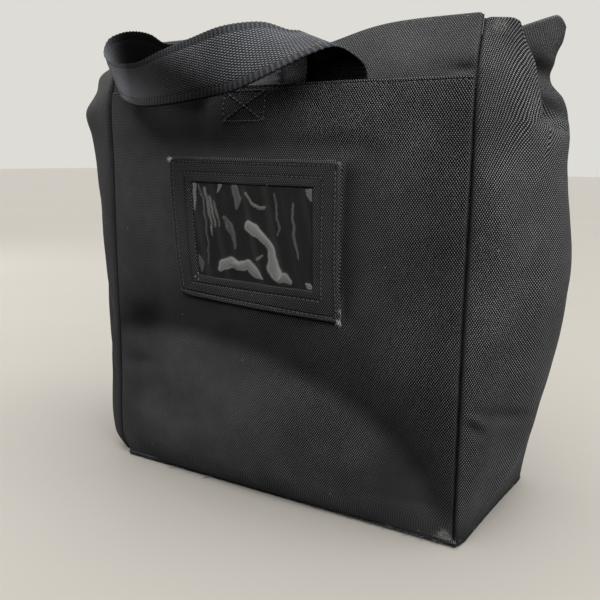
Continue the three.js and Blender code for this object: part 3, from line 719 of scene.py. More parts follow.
# Dust on the rim on the right, which also stands for painted sheen.
rim_dust_and_sheen = 0.42 * here["dust_and_sheen_rim"]
# Painted shade at the seams and painted light on the cloth under the handle's arch.
tone = 1.15 * seam_shade(np.minimum(from_left, from_right)) + 2.5 * here["painted_light_under_arch"]
collar = dress("mouth_collar", points, faces, flat, nylon, ["front_collar"], rim_dust_and_sheen, tone, 0.5)

# %% [markdown]
# ## Side gussets
# Each side is one piece of cloth that bulges out low down and is tucked in at the top, as a paper bag is.
# Three fold lines run up it: a shoulder near the front seam, a middle line that goes from a bulge to a
# deep tuck, and a back corner that flares out as an ear. A row of the cloth goes straight from fold to
# fold and rounds off at each one, so the columns of the mesh follow the folds and the ridges stay crisp.

# %% Rows of a gusset
STRAIGHT, TURN = np.linspace(0, 1, 13), np.linspace(0, 1, 15)
CROWD = 1.6  # points crowd towards the two seams
TIP = {"x": 137, "reach": 8, "drop": 18.7, "z": 262}


def gusset_grid(side, folds, z):
    sewn, front = along(SEAMS, "right" if side > 0 else "left", z), along(SEAMS, "front", z)
    corners = [np.stack([sewn, front, z + along(SEAMS, "front_lift", z)], -1)]
    for fold in folds.values():
        out, back = sewn + side * along(fold, "out", z), front + along(fold, "back", z)
        corners.append(np.stack([out, back, z + along(fold, "lift", z)], -1))
    half, back = side * along(SEAMS, "back_half", z), along(SEAMS, "back", z)
    corners.append(np.stack([half, back, z + along(SEAMS, "back_lift", z)], -1))
    strips = []
    start = corners[0] + unit(corners[1] - corners[0]) * GAP / 2
    for k, fold in enumerate(folds.values(), 1):
        bend, ends = corners[k], []
        for other in (corners[k - 1], corners[k + 1]):
            most = 0.48 * np.linalg.norm(other - bend, axis=-1, keepdims=True)
            ends.append(bend + unit(other - bend) * np.minimum(along(fold, "round", z)[:, None], most))
        enter, leave = ends
        share = STRAIGHT ** CROWD if k == 1 else STRAIGHT
        strips.append(start[:, None] + (enter - start)[:, None] * share[None, :-1, None])
        t = TURN[None, :-1, None]
        turned = (1 - t) ** 2 * enter[:, None] + 2 * t * (1 - t) * bend[:, None] + t * t * leave[:, None]
        strips.append(turned)
        start = leave
    end = corners[4] + unit(corners[3] - corners[4]) * GAP / 2
    strips.append(start[:, None] + (end - start)[:, None] * (1 - (1 - STRAIGHT) ** CROWD)[None, :, None])
    grid = np.concatenate(strips, axis=1)
    upward = climb(z, TIP["z"], RIM_Z - TIP["z"])[:, None]
    grid[..., 2] -= TIP["drop"] * upward * climb(grid[..., 0], TIP["x"], TIP["reach"]) ** 2
    return grid


print("a gusset row has", gusset_grid(1, RIGHT_FOLDS, np.array([0.0])).shape[1], "points")

# %% [markdown]
# From the front the sides turn away, and the true beads of their weave would be too fine to show. So the
# weave is drawn wider across there, up to 1.7 times, and in the tucked top up to 2.5 times, where its
# yarns also lean upright. Heights are measured square to the rows, which keeps the beads in step where the
# folds fan out.


# %% Weave of a gusset
def side_weave(grid, run, z):
    # Across: 1.1 times as close as on the front at the seam, wider from 6 mm on, as at the seam beyond 90 mm.
    drawn = 1.1 * run - 0.007 * np.clip(run - 6, 0, 36) ** 2 - 0.504 * np.clip(run - 42, 0, 48)
    # In the tucked top the beads are wider still, and the yarns lean upright.
    drawn -= 0.34 * climb(z, 195, 35) * np.minimum(drawn, 38)
    drawn += 0.0042 * np.clip(z - 188, 0, 42) ** 2 + 0.35 * np.clip(z - 230, 0, None)
    # Up: only the part of each step that is square to its row counts.
    steps, row_way = np.diff(grid, axis=0), unit(np.gradient(grid, axis=1))[1:]
    steps -= (steps * row_way).sum(-1, keepdims=True) * row_way
    risen = np.concatenate([0 * run[:1], np.cumsum(np.linalg.norm(steps, axis=-1), axis=0)])
    return np.stack([drawn, risen], -1)


print("side weave: 1.1 times as close at the front seam as on the front")

# %% [markdown]
# Creases are low bumps and hollows along short slanted lines, given by how far along the row and how high
# they are. The right side is the one that shows: its creases, its seams, its tuck and the cloth under the
# ear get painted shade, and the bulge, the ear's tip and the shoulder get painted light. The left side is
# painted in shade as a whole. Both get painted shade at the foot.

# %% Make both gussets
CREASES = {
    1: table(
        BUMP, (38, 70.5, 30, 3.5, -13, -1.3), (8, 74.5, 7, 1.9, -28, 1.0), (6, 70, 8, 1.7, -28, -1.4),
        (9, 66, 7, 1.7, -24, -0.8), (30, 120, 30, 9, 62, -1.0), (55, 30, 30, 8, 40, 1.2),
        (52, 262, 10, 9, 0, 1.8), (133, 267, 9, 6, 0, 1.8), (76, 229, 15, 2.5, -8, -1.6),
        (80, 243, 12, 6, 80, -3.0)),
    -1: table(BUMP, (14, 110, 24, 4, 62, -1.0), (12, 64, 20, 3.5, 66, -0.9), (20, 170, 26, 6, 70, -0.8)),
}
SIDE_PATCHES = {  # how far along the row and how high, then reach along and up
    "dust_and_sheen_rim": (14, RIM_Z - 4, 12, 6), "painted_shade_under_ear": (122, 265, 12, 9), "painted_shade_in_tuck": (92, 242, 11, 7),
    "bulge": (25, 138, 30, 40), "painted_light_ear_tip": (148, 281, 14, 6), "shoulder": (50, 238, 9, 8),
}
RIM_DIP = {"run": 38, "reach": 7, "drop": 2.2, "z": 262, "rise": 20}


def side_finish(side, run, left_to_go, z):
    here = patches(SIDE_PATCHES, run, z)
    # Dust at the rim, which also stands for painted sheen, and dust at the foot.
    dust_and_sheen_wear = 0.6 * here["dust_and_sheen_rim"] + 0.3 * fade(z - FLOOR_Z, 3)
    to_seam, foot = np.minimum(run, left_to_go), fade(z, 14)
    # Painted shade in the creases and at the seams.
    tone = np.clip(1.12 + 0.14 * bumps(CREASES[side], run, z), 0.3, 1.4) * seam_shade(to_seam)
    # Painted shade at the foot.
    tone *= 1 - 0.65 * foot
    plain = np.maximum(fade(to_seam, 1.5), 0.6 * foot)
    # The left side gets painted shade as a whole.
    if side < 0:
        return dust_and_sheen_wear, 0.65 * tone, np.maximum(plain, 0.6)
    # Painted shade under the ear and in the tuck, painted light on the bulge, the ear's tip and the shoulder.
    tone *= 1 - 0.9 * here["painted_shade_under_ear"]
    tone *= 1 - 0.75 * here["painted_shade_in_tuck"]
    tone += 0.4 * here["bulge"] + 0.5 * here["painted_light_ear_tip"]
    tone += 0.35 * here["shoulder"]
    return dust_and_sheen_wear, tone, np.maximum(plain, 0.5 * climb(run, 100, 12) * climb(z, 250, 8))


def make_gusset(name, side, folds, node, phase):
    low, tucked = np.linspace(FLOOR_Z, 200, 140), np.linspace(201.5, RIM_Z - 2, 62)
    z = np.concatenate([low, tucked, np.linspace(RIM_Z - 1.6, RIM_Z, 6)])
    grid = gusset_grid(side, folds, z)
    z = np.repeat(z[:, None], grid.shape[1], axis=1)
    run = lengths(grid, 1)
    left_to_go = run[:, -1:] - run
    out = 0.7 * hollows(run, z, phase) + bumps(CREASES[side], run, z)
    out = out * climb(run, 0, 9) * climb(left_to_go, 0, 9) * climb(z, 4, 14)
    grid = grid + square_to(grid) * side * out[..., None]
    grid = drawn_in(grid, side, -1, run, z)
    grid = drawn_in(grid, side, 1, left_to_go, z)
    dip = climb(z, RIM_DIP["z"], RIM_DIP["rise"]) ** 2 * fade(run - RIM_DIP["run"], RIM_DIP["reach"])
    grid[..., 2] -= RIM_DIP["drop"] * dip
    ease = np.minimum(rolled(run, 1.2) + rolled(left_to_go, 1.2) + rolled(RIM_Z - z, 1.2), 1.2)
    kept = [grid, ease, side_weave(grid, run, z), *side_finish(side, run, left_to_go, z)]
    edges = [seam_lean(side, -1), seam_lean(side, 1)]
    if side < 0:
        kept, edges = [values[:, ::-1] for values in kept], edges[::-1]
    grid, ease, flat, dust_and_sheen_wear, tone, plain = kept
    points, faces = sheet_mesh(np.ascontiguousarray(grid), SIDE_T, edges, standing=True, ease=ease)
    piece = dress(name, points, faces, flat, nylon, [node], dust_and_sheen_wear, tone, plain)
    print(name, "row lengths", round(float(run[0, -1])), "to", round(float(run[:, -1].max())), "mm")


make_gusset("side_gusset_right", 1, RIGHT_FOLDS, "gusset_right", 0.8)
make_gusset("side_gusset_left", -1, LEFT_FOLDS, "gusset_left", 2.9)

# %% [markdown]
# ## Back wall
# The back does not show from the front. It is a plain panel of the same cloth with a rounded belly. A flat
# sheet would do for one view, but the bag is looked at from all sides, so it gets the same seams and
# hollows as the front.

# %% Make the back
BACK_BELLY = 8.0
z = np.concatenate([np.linspace(FLOOR_Z, RIM_Z - 2, 100), np.linspace(RIM_Z - 1.6, RIM_Z, 6)])
half = (along(SEAMS, "back_half", z) - GAP / 2)[:, None]
inner_span = (half - EDGE[-1]) * (1 - 2 * np.linspace(0, 1, 82)[1:-1])
x = np.concatenate([half - EDGE, inner_span, -half + EDGE[::-1]], axis=1)
z = np.repeat(z[:, None], x.shape[1], axis=1)
from_right, from_left = x[:, :1] - x, x - x[:, -1:]
y = along(SEAMS, "back", z) + BACK_BELLY * np.sin(math.pi * z / RIM_Z) * (1 - (x / half) ** 2)
y += 0.9 * climb(half - np.abs(x), 0, 20) * climb(z, 4, 14) * hollows(x, z, 4.1)
grid = np.stack([x, y, z + along(SEAMS, "back_lift", z)], -1)
grid = drawn_in(grid, 1, 1, from_right, z)
grid = drawn_in(grid, -1, 1, from_left, z)
ease = np.minimum(rolled(from_left, 1.5) + rolled(from_right, 1.5) + rolled(RIM_Z - z, 1.2), 1.5)
points, faces = sheet_mesh(grid, WALL_T, (seam_lean(1, 1), seam_lean(-1, 1)), standing=True, ease=ease)
flat = np.stack([lengths(grid, 1), lengths(grid, 0)], -1)
back = dress("back_wall", points, faces, flat, nylon, ["back_panel"])

# %% [markdown]
# ## Bottom
# The bottom is a stiff board in cloth, flat where it rests. Its outline is the lowest row of both sides
# joined in a ring. It is built as rings set in from that outline, so that its edges are round.

# %% Make the bottom
BASE_INSET, AROUND = 0.5, 360


def base_outline(outset):
    right = gusset_grid(1, RIGHT_FOLDS, np.array([0.0]))[0][:, :2]
    left = gusset_grid(-1, LEFT_FOLDS, np.array([0.0]))[0][::-1, :2]
    ring = np.concatenate([right, left, right[:1]])
    spots = lengths(ring[None], 1)[0]
    even = np.linspace(0, spots[-1], AROUND + 1)[:-1]
    ring = np.stack([np.interp(even, spots, ring[:, k]) for k in (0, 1)], -1)
    onward = unit(np.roll(ring, -1, 0) - ring)
    along_ring = unit(np.roll(onward, 1, 0) + onward)
    reach = outset / np.sum(along_ring * onward, -1, keepdims=True)
    return ring + np.stack([along_ring[:, 1], -along_ring[:, 0]], -1) * reach, even


points = []
for inset, height in ((1.4, 0.0), (0.5, 0.3), (0.0, 1.1), (0.0, 1.9), (0.5, 2.7), (1.4, BASE_T)):
    points.append(np.column_stack([base_outline(-BASE_INSET - inset)[0], np.full(AROUND, height)]))
faces = tube_faces(len(points), AROUND)
points = np.concatenate(points)
dress("bottom_board", points, faces, points[:, :2], nylon, ["base_panel"])

# %% [markdown]
# ## Bound edge round the bottom
# The seam between the walls and the bottom is bound with a narrow strip that has been rubbed on tables for
# years. It is a thin uneven roll along the outline. A bevelled curve would give an even one, so its rings
# are placed here.

# %% Make the binding
BINDING_T, BINDING_MIDDLE = 0.8, 1.65
ring, even = base_outline(GAP + BINDING_T / 2 - BASE_INSET)
outward = unit(base_outline(BINDING_T)[0] - base_outline(0.0)[0])
turns = np.linspace(0, 2 * math.pi, 11)[:-1]
uneven = (1 + 0.16 * ripple(even, 9.0, 0.7) + 0.10 * ripple(even, 3.7, 2.0))[:, None]
spread = np.cos(turns)[None] * (BINDING_T / 2 * uneven)
lift = BINDING_MIDDLE + np.sin(turns)[None] * uneven
points = np.concatenate([ring[:, None] + outward[:, None] * spread[..., None], lift[..., None]], -1)
rows, columns = points.shape[:2]
index = np.arange(rows * columns).reshape(rows, columns)
onward, upward = np.roll(index, -1, 0), np.roll(index, -1, 1)
faces = quads(index, onward, np.roll(onward, -1, 1), upward)
flat = np.stack(np.broadcast_arrays(even[:, None], turns[None] * BINDING_T), -1)
rub = np.repeat(0.55 * np.clip(ripple(even, 23, 1.1), 0, 1), columns)
dress("bottom_binding", points.reshape(-1, 3), faces, flat, tape, ["base_binding"], rub)

# %% [markdown]
# ## Handle
# The handle is 38 mm webbing, sewn in behind the hem at both ends. It stands up, flops forward and to the
# left, turns round in a loop and comes back. Two edge lines carry it, and the webbing is ruled between
# them. It is modelled directly, since a cloth simulation would let it fall flat.

# %% Edge lines of the handle
HANDLE = np.array([
    # near edge x, y, z, far edge x, y, z
    (65.5, -63, 229, 27.5, -64, 229), (65.5, -61.2, 244, 27.5, -62.3, 244),
    (65.5, -60.6, 251, 28, -61.4, 251),
    (64.2, -61, 258, 28, -60.4, 259.5), (58.4, -65, 264, 24, -56, 270), (52.1, -71, 266.9, 20.5, -54, 278.4),
    (42.2, -80, 262.8, 15.3, -59.8, 279.3), (26.1, -88, 254.2, 6.4, -72.1, 282.5),
    (1.9, -93, 244.4, -7.8, -85.7, 280.4), (-23.4, -94, 240.6, -34.4, -84, 275.6),
    (-50, -93, 238.4, -62.4, -78, 271), (-69, -90, 238.8, -89, -72.1, 266.3),
    (-86, -84, 243.5, -110.5, -71, 268.7), (-93, -78, 247, -117.5, -69, 275),
    (-93, -71, 251, -115.6, -67, 282.4), (-86, -66.5, 252, -104.5, -67.5, 285.7),
    (-75, -65.5, 251, -90.3, -69, 285.6), (-62, -65.5, 246, -77.2, -70, 282.8),
    (-50, -65.8, 244, -64.5, -69.5, 276.5), (-41, -66.3, 244.5, -44, -66, 277.5),
    (-33.5, -64.5, 252.5, -20, -61, 280), (-29.7, -63.2, 255, 0, -57.5, 278),
    (-27.5, -62.3, 256, 10, -59.5, 266), (-27, -61.4, 251, 11, -61.3, 251),
    (-28.5, -62.3, 244, 9.5, -62.4, 244), (-28.5, -64, 229, 9.5, -64.3, 229),
])


def through(knots, t):
    padded = np.concatenate([2 * knots[:1] - knots[1:2], knots, 2 * knots[-1:] - knots[-2:-1]])
    k = np.minimum((t * (len(knots) - 1)).astype(int), len(knots) - 2)
    w = (t * (len(knots) - 1) - k)[:, None]
    p = [padded[k + shift] for shift in range(4)]
    d = [np.linalg.norm(p[i + 1] - p[i], axis=1, keepdims=True) ** 0.5 for i in range(3)]
    leave = ((p[1] - p[0]) / d[0] - (p[2] - p[0]) / (d[0] + d[1]) + (p[2] - p[1]) / d[1]) * d[1]
    arrive = ((p[2] - p[1]) / d[1] - (p[3] - p[1]) / (d[1] + d[2]) + (p[3] - p[2]) / d[2]) * d[1]
    return (p[1] + leave * w + (-3 * p[1] + 3 * p[2] - 2 * leave - arrive) * w ** 2
            + (2 * p[1] - 2 * p[2] + leave + arrive) * w ** 3)


fine = np.linspace(0, 1, 4001)
middle_line = (through(HANDLE[:, :3], fine) + through(HANDLE[:, 3:], fine)) / 2
middle_run = lengths(middle_line[None], 1)[0]
HANDLE_LENGTH = middle_run[-1]
print("handle is", round(HANDLE_LENGTH), "mm long between its sewn ends")

# %% [markdown]
# Both borders of the webbing are closely bound: ribs run across them every 2.8 mm and make the edge
# saw-toothed. The ribs are in the mesh because they show in the outline. A bump in the material would
# leave the edge straight.

# %% Weave the handle
HANDLE_WIDTH, RIB, SELVEDGE = 38, 2.8, 5.5
rows = int(HANDLE_LENGTH / (RIB / 5))
run = np.linspace(0, HANDLE_LENGTH, rows)
t = np.interp(run, middle_run, fine)
near, far = through(HANDLE[:, :3], t), through(HANDLE[:, 3:], t)
share = np.array([0, 0.012, 0.03, 0.055, 0.085, 0.115, 0.14, 0.16, 0.2, 0.27, 0.34, 0.42, 0.5])
share = np.concatenate([share, 1 - share[-2::-1]])
grid = near[:, None] + (far - near)[:, None] * share[None, :, None]
from_edge = np.minimum(share, 1 - share)[None] * np.linalg.norm(far - near, axis=1)[:, None]
rib = np.cos(2 * math.pi * run / RIB)[:, None]
bound = climb(from_edge, SELVEDGE + 0.4, -0.8)
tooth = np.where(share < 0.5, 1, -1)[None] * (0.2 - 0.2 * rib) * fade(from_edge, 0.9)
clear_of_hem = climb(np.minimum(run, HANDLE_LENGTH - run), 20, 8)[:, None, None]
grid += unit(far - near)[:, None] * tooth[..., None] * clear_of_hem
ease = rolled(from_edge, 0.75) + bound * (0.11 - 0.11 * rib) + 0.35 * fade(from_edge - SELVEDGE, 0.45)
ease = np.minimum(ease + (1 - bound) * 0.08, 0.8)
points, faces = sheet_mesh(grid, STRAP_T, centred=True, ease=ease)
flat = np.stack(np.broadcast_arrays(share[None] * HANDLE_WIDTH, run[:, None]), -1)
print("ribs along each border:", round(HANDLE_LENGTH / RIB))

# %% [markdown]
# The webbing's outer face is pale where it stands up to the light and dark in a slanted band where it
# rolls over. Its inner face lies in the shade of the loop, apart from a sliver at the turn and the end
# that goes back into the hem. The ribs are pale on their tops, and the far half of the handle is rubbed
# smooth. These tones are kept in the mesh, because lights alone leave black webbing too even.

# %% Finish the handle
# Places along the handle, as shares of its length.
AT = {"roll": 0.325, "smooth": 0.4, "loop": 0.52, "fluff": 0.56, "turn": 0.58, "return": 0.86}
ROLL_SLANT = 0.17
part = (run / HANDLE_LENGTH)[:, None]
fuzz = 0.35 * fade(from_edge, 1.2) * fade(run - AT["fluff"] * HANDLE_LENGTH, 40)[:, None]
# Painted light and shade: a dark slanted band where the webbing rolls over, pale rib tops, paler past the
# loop.
band = part - AT["roll"] - ROLL_SLANT * share
band = fade(band, np.where(band < 0, 0.085, 0.2))
ribbed = 1 + bound * (0.7 * np.clip(rib, 0, 1) ** 2 - 0.6)
outer = (1.25 + 0.25 * share - (1.15 + 0.25 * share) * band) * ribbed
outer += 0.9 * climb(part, AT["loop"], 0.05)
# Painted shade on the inner face, with painted light at the turn and on the returning end.
inner = 0.02 + (0.5 + 2.4 * share) * fade(part - AT["turn"], 0.014 + 0.02 * share)
inner += 4.2 * climb(part, AT["return"], 0.06)
pressed = np.maximum(0.85 * bound, 0.2 + 0.6 * climb(part, AT["smooth"], 0.06))
tone = np.stack([outer, inner])
dress("handle_webbing", points, faces, flat, webbing, ["handle_strap"], fuzz, tone, pressed)

# %% [markdown]
# ## Card holder
# A frame of doubled cloth is sewn on the front with one line of stitches near its outer edge and one near
# the window. Each line pulls the cloth into a groove, and the folded edge outside it stays as a soft roll.
# The corners are rubbed white and frayed. The frame is a ring of rows from the window's edge to the outer
# one, so that the grooves follow both edges. A flat plate with a hole cut by a boolean could not be pulled
# in like that.

# %% Grid of the card frame
CARD_T, CARD_STANDOFF = 2.0, 0.5
OUTER_STITCH, INNER_STITCH = 3.3, 5.4
SIDE_POINTS = 72
around = np.arange(4 * SIDE_POINTS) / SIDE_POINTS
corner = np.floor(around).astype(int)
part = 0.5 - 0.5 * np.cos(math.pi * (around % 1))
mixed = {}
for column, values in CARD.items():
    values = np.array(values, float)
    mixed[column] = (values[corner] + (values[(corner + 1) % 4] - values[corner]) * part)[:, None]
wide, high = mixed["x"] - mixed["window_x"], mixed["z"] - mixed["window_z"]
border = np.where(corner[:, None] % 2 == 0, np.abs(high), np.abs(wide))
across = np.concatenate([[0, 0.012, 0.03, 0.055, 0.09], np.linspace(0.13, 0.87, 34),
                         [0.9, 0.925, 0.945, 0.965, 0.98, 0.99, 1.0]])
in_from_edge, out_from_window = border * (1 - across), border * across
pull = 0.06 * fade(115 * np.minimum(part, 1 - part), 3)[:, None] * across ** 6
x = mixed["window_x"] + wide * across - wide * pull
z = mixed["window_z"] + high * across - high * pull
print("card frame grid:", x.shape)

# %% [markdown]
# Each stitch line on the real frame draws a groove, the cloth puffs up between the stitches and the folded
# edges are round. All three ease the outer face in, point by point, because a bump in the material would
# leave the outline straight. Then come the rubbed corners, painted shade in the grooves and a painted
# highlight along the outer roll.

# %% Make the card frame
FRAYED_SPOTS = (  # x, z, reach, how white
    (-66, 209, 2.0, 0.9), (57, 120.5, 2.2, 1.0), (56.5, 127, 1.4, 0.6), (55, 208, 1.8, 0.5),
    (-58, 125, 2, 0.4))
side_run = ((corner + part) * 110)[:, None]
at_outer, at_inner = in_from_edge - OUTER_STITCH, out_from_window - INNER_STITCH
groove = (0.6 + 0.15 * needle(side_run)) * fade(at_outer, 0.75)
groove += (0.5 + 0.15 * needle(side_run)) * fade(at_inner, 0.75)
puff = 0.5 * np.clip(ripple(side_run, 17, 0.6), -1, 1) * fade(in_from_edge, 3) * (in_from_edge > 1.2)
ease = np.clip(rolled(in_from_edge, 1.8) + rolled(out_from_window, 1.1) + groove - puff, 0, 1.7)
wear = 0.34 * fade(in_from_edge, 1.1)
for spot_x, spot_z, reach, amount in FRAYED_SPOTS:
    wear += amount * patch(x, z, spot_x, spot_z, reach, reach)
# Painted shade in the two stitch grooves and a painted highlight along the outer roll.
tone = 0.7 * (1 - 0.35 * (fade(at_outer, 0.9) + fade(at_inner, 0.9))) + 0.35 * fade(in_from_edge - 1.2, 0.9)
grid = np.stack([x, front_y(x, z) - CARD_STANDOFF - CARD_T, z], -1)
points, faces = sheet_mesh(grid, CARD_T, wrap=True, ease=ease)
flat = np.stack([x, z], -1)
dress("card_holder_frame", points, faces, flat, nylon, ["card_frame"], wear, tone, 0.2)

# %% [markdown]
# ## Clear film
# Behind the frame lies the clear film. It has been bent so often that its folds stay up and have gone
# cloudy: thin upright ones on the left, and a thick one that runs down the middle and out to both sides.
# Each fold is a path with a width, and the film is lifted and clouded by the distance from it, most at the
# fold's borders. The clouding is partly real whitening and partly painted reflection, and its brighter
# borders are a painted highlight.

# %% Folds of the film
# How cloudy a fold is sets its pale colour, partly real whitening and partly painted reflection.
FILM_FOLDS = (  # a path of x, z and half width, then height and how cloudy
    (((-2.5, 171.1, 3.3), (2, 168.4, 3.3), (6.8, 165.7, 2.8), (10.4, 162.5, 2.4), (12.8, 159.2, 2.4),
      (14, 155.8, 2.7), (14.6, 151.9, 3.4), (14.6, 147.9, 4.5), (16.7, 144.6, 4.3)), 0.7, 0.62),
    (((18.7, 141.6, 2.2), (22.3, 142.9, 3.0), (25.2, 140.9, 1.9)), 0.5, 0.5),
    (((-23.6, 143.6, 1.6), (-21.3, 147, 3.2), (-16.1, 148.9, 3.6), (-11.1, 147.8, 2.9)), 0.6, 0.58),
    (((-11.1, 147.3, 2.7), (-6.1, 147.5, 3.1), (-2.6, 148.8, 2.9), (0.1, 145.9, 3.2), (3.5, 142.9, 2.6),
      (6.5, 141.2, 0.8)), 0.6, 0.58),
    (((3.2, 151.5, 0.9), (7.4, 154.8, 0.6)), 0.3, 0.35),
    (((-44.3, 194.7, 1.4), (-43.8, 186.5, 1.2), (-43.7, 178.8, 0.4)), 0.3, 0.5),
    (((-36.1, 191.9, 0.8), (-33, 182.8, 1.0), (-30.6, 173.2, 0.8), (-29.1, 164, 0.4)), 0.4, 0.36),
    (((-32.3, 186.9, 0.7), (-29.2, 178.4, 0.9), (-27.1, 169.3, 0.4)), 0.4, 0.36),
    (((-28.8, 184.5, 0.5), (-25.3, 176, 0.7), (-24.2, 169.4, 0.4)), 0.3, 0.3),
    (((-41.3, 193.8, 0.4), (-36.9, 186.2, 0.6), (-34.5, 173, 0.5), (-32.5, 157.6, 0.4), (-33.1, 146, 0.6)),
     0.2, 0.2),
    (((-19.6, 174.8, 1.4), (-16.5, 169.9, 2.3), (-13.4, 165.5, 1.7), (-12.2, 156.9, 0.6)), 0.4, 0.22),
    (((-24.4, 194.2, 1.5), (-25.5, 189.7, 0.5)), 0.3, 0.5),
    (((-13.7, 193, 2.2), (-10.7, 186.7, 2.7), (-11.1, 180.7, 0.8)), 0.5, 0.25),
    (((-5.1, 189.8, 0.7), (-0.9, 184.1, 0.9), (3.9, 181.3, 0.9), (8, 182.2, 1.1)), 0.4, 0.4),
    (((14.8, 189.5, 0.6), (16.3, 182.4, 0.5), (18.6, 169.9, 0.7), (17.8, 166.9, 0.4)), 0.3, 0.2),
    (((27.1, 185.2, 0.4), (28.1, 168.5, 1.0), (29.6, 160.4, 0.8), (31.7, 153.8, 0.4)), 0.3, 0.26),
    (((35.1, 192.8, 0.7), (37.6, 191, 2.4), (38.5, 187, 0.7)), 0.3, 0.36),
    (((36.3, 140.5, 0.7), (38, 139.2, 1.8), (40.6, 138, 0.5)), 0.3, 0.55),
    (((-40.3, 150.7, 0.6), (-38.7, 146.6, 2.3), (-38.5, 141.8, 0.8)), 0.3, 0.25),
)


def ridge(path, x, z):
    away = np.full(x.shape, np.inf)
    path = np.array(path, float)
    for first, last in zip(path[:-1], path[1:]):
        step = last - first
        share = np.clip(((x - first[0]) * step[0] + (z - first[1]) * step[1]) / (step[:2] @ step[:2]), 0, 1)
        off = np.hypot(x - first[0] - share * step[0], z - first[1] - share * step[1])
        away = np.minimum(away, off / (first[2] + share * step[2]))
    return away


print("folds in the film:", len(FILM_FOLDS))

# %% [markdown]
# The film fills the window, a little behind the frame's face, and is held flat along its four edges. It is
# a fine grid, since a fold is only a few millimetres wide. A cloth simulation makes folds too, but not in
# chosen places.

# %% Make the clear film
WINDOW_T, WINDOW_DEPTH = 0.7, 0.6
columns, rows = 220, 140
inset, rise = GAP / 82, GAP / 56
u, v = np.meshgrid(np.linspace(inset, 1 - inset, columns), np.linspace(rise, 1 - rise, rows))
places = []
for column in ("window_x", "window_z"):
    low_left, low_right, high_right, high_left = CARD[column]
    low, high = low_left + (low_right - low_left) * u, high_left + (high_right - high_left) * u
    places.append(low * (1 - v) + high * v)
x, z = places
wave = 0.10 * ripple(x + 0.2 * z, 15, 0.5) + 0.08 * ripple(z - 0.3 * x, 21, 1.5)
cloud_and_reflection = 0.02 + 0.03 * np.clip(ripple(x + 0.25 * z, 13, 0.3), 0, 1)
for path, height, amount in FILM_FOLDS:
    away = ridge(path, x + 0.5 * ripple(z, 11, 1.0), z + 0.5 * ripple(x, 9, 2.0))
    wave = wave + height * fade(away, 1.2)
    # Painted highlight: the pale colour is brightest at the fold's borders.
    rim = 0.64 + 0.36 * fade(away - 0.82, 0.2)
    cloud_and_reflection = np.maximum(cloud_and_reflection, amount * rim * np.exp(-away ** 8))
held = climb(u, 0, 0.05) * climb(u, 1, -0.05) * climb(v, 0, 0.04) * climb(v, 1, -0.02)
y = front_y(x, z) - CARD_STANDOFF - CARD_T + WINDOW_DEPTH - np.clip(wave, -0.55, 1.2) * held
points, faces = sheet_mesh(np.stack([x, y, z], -1), WINDOW_T)
film = dress("card_film", points, faces, np.stack([x, z], -1), vinyl, ["card_window"], tone=cloud_and_reflection)

# %% [markdown]
# ## Stitches
# The thread shows as short raised dashes. Each stitch is a small capsule laid along the seam, half sunk
# into its groove. An array along a curve would space them too, but the runs turn corners and follow the
# swelling of the wall, so they are placed one by one.

# %% Make a run of stitches
STITCH_GAP, STITCH_LENGTH = 0.35, 2.3
CAPSULE = ((0.0, 0.25, -0.35), (0.12, 0.8, 0.0), (0.5, 1.0, 0.18), (0.88, 0.8, 0.0), (1.0, 0.25, -0.35))
CAPSULE_POINTS = 6 * len(CAPSULE)


def capsule(start, end, out, radius):
    ahead = unit(end - start)
    sideways = unit(np.cross(ahead, out))
    out = np.cross(sideways, ahead)
    turn = np.linspace(0, 2 * math.pi, 7)[:-1]
    circle = np.cos(turn)[:, None] * sideways + np.sin(turn)[:, None] * out
    rings = [start + (end - start) * s + circle * radius * r + out * radius * h for s, r, h in CAPSULE]
    return np.concatenate(rings)


def sew(runs, radius):
    points, faces = [], []
    for path, out in runs:
        spots = lengths(path[None], 1)[0]
        for k in range(int(spots[-1] / STITCH_PITCH)):
            first = k * STITCH_PITCH + STITCH_GAP
            ends = np.array([first, first + STITCH_LENGTH])
            if ends[1] > spots[-1]:
                continue
            place = np.stack([np.interp(ends, spots, path[:, c]) for c in range(3)], -1)
            normal = unit(np.array([np.interp(ends.mean(), spots, out[:, c]) for c in range(3)]))
            faces += tube_faces(len(CAPSULE), 6, CAPSULE_POINTS * len(points))
            points.append(capsule(place[0], place[1], normal, radius))
    return np.concatenate(points), faces


print("a stitch has", CAPSULE_POINTS, "points")

# %% [markdown]
# The runs follow both edges of the card frame, the hem, and a crossed box that holds one end of the
# handle. The box is sewn with thicker thread. The wall's own formula gives the height and the slope under
# each stitch. A shrinkwrap could lay the lines on the wall too, but it would not sink each stitch into its
# groove.


# %% Sew
def on_front(line, lift):
    x, z = line[:, 0], line[:, 1]
    step = 0.5
    slope_x = (front_y(x + step, z) - front_y(x - step, z)) / (2 * step)
    slope_z = (front_y(x, z + step) - front_y(x, z - step)) / (2 * step)
    out = unit(np.stack([slope_x, -np.ones_like(slope_x), slope_z], -1))
    return np.stack([x, front_y(x, z), z], -1) + out * lift, out


runs = []
outer = np.stack([CARD["x"], CARD["z"]], -1)
window = np.stack([CARD["window_x"], CARD["window_z"]], -1)
for edge, other, inside in ((outer, window, OUTER_STITCH), (window, outer, INNER_STITCH)):
    ring = edge + (other - edge) * (inside / np.abs(outer[:, 1:] - window[:, 1:]))
    for k in range(4):
        line = np.linspace(ring[k], ring[(k + 1) % 4], 80)
        runs.append(on_front(line, CARD_STANDOFF + CARD_T - 0.42))
hem = np.linspace((-122, HEM_Z - HEM_STITCH), (122, HEM_Z - HEM_STITCH), 400)
runs.append(on_front(hem, -0.3))
points, faces = sew(runs, 0.32)
dress("seam_stitches", points, faces, (0.0, 0.0), thread)
print("stitches sewn:", len(points) // CAPSULE_POINTS)

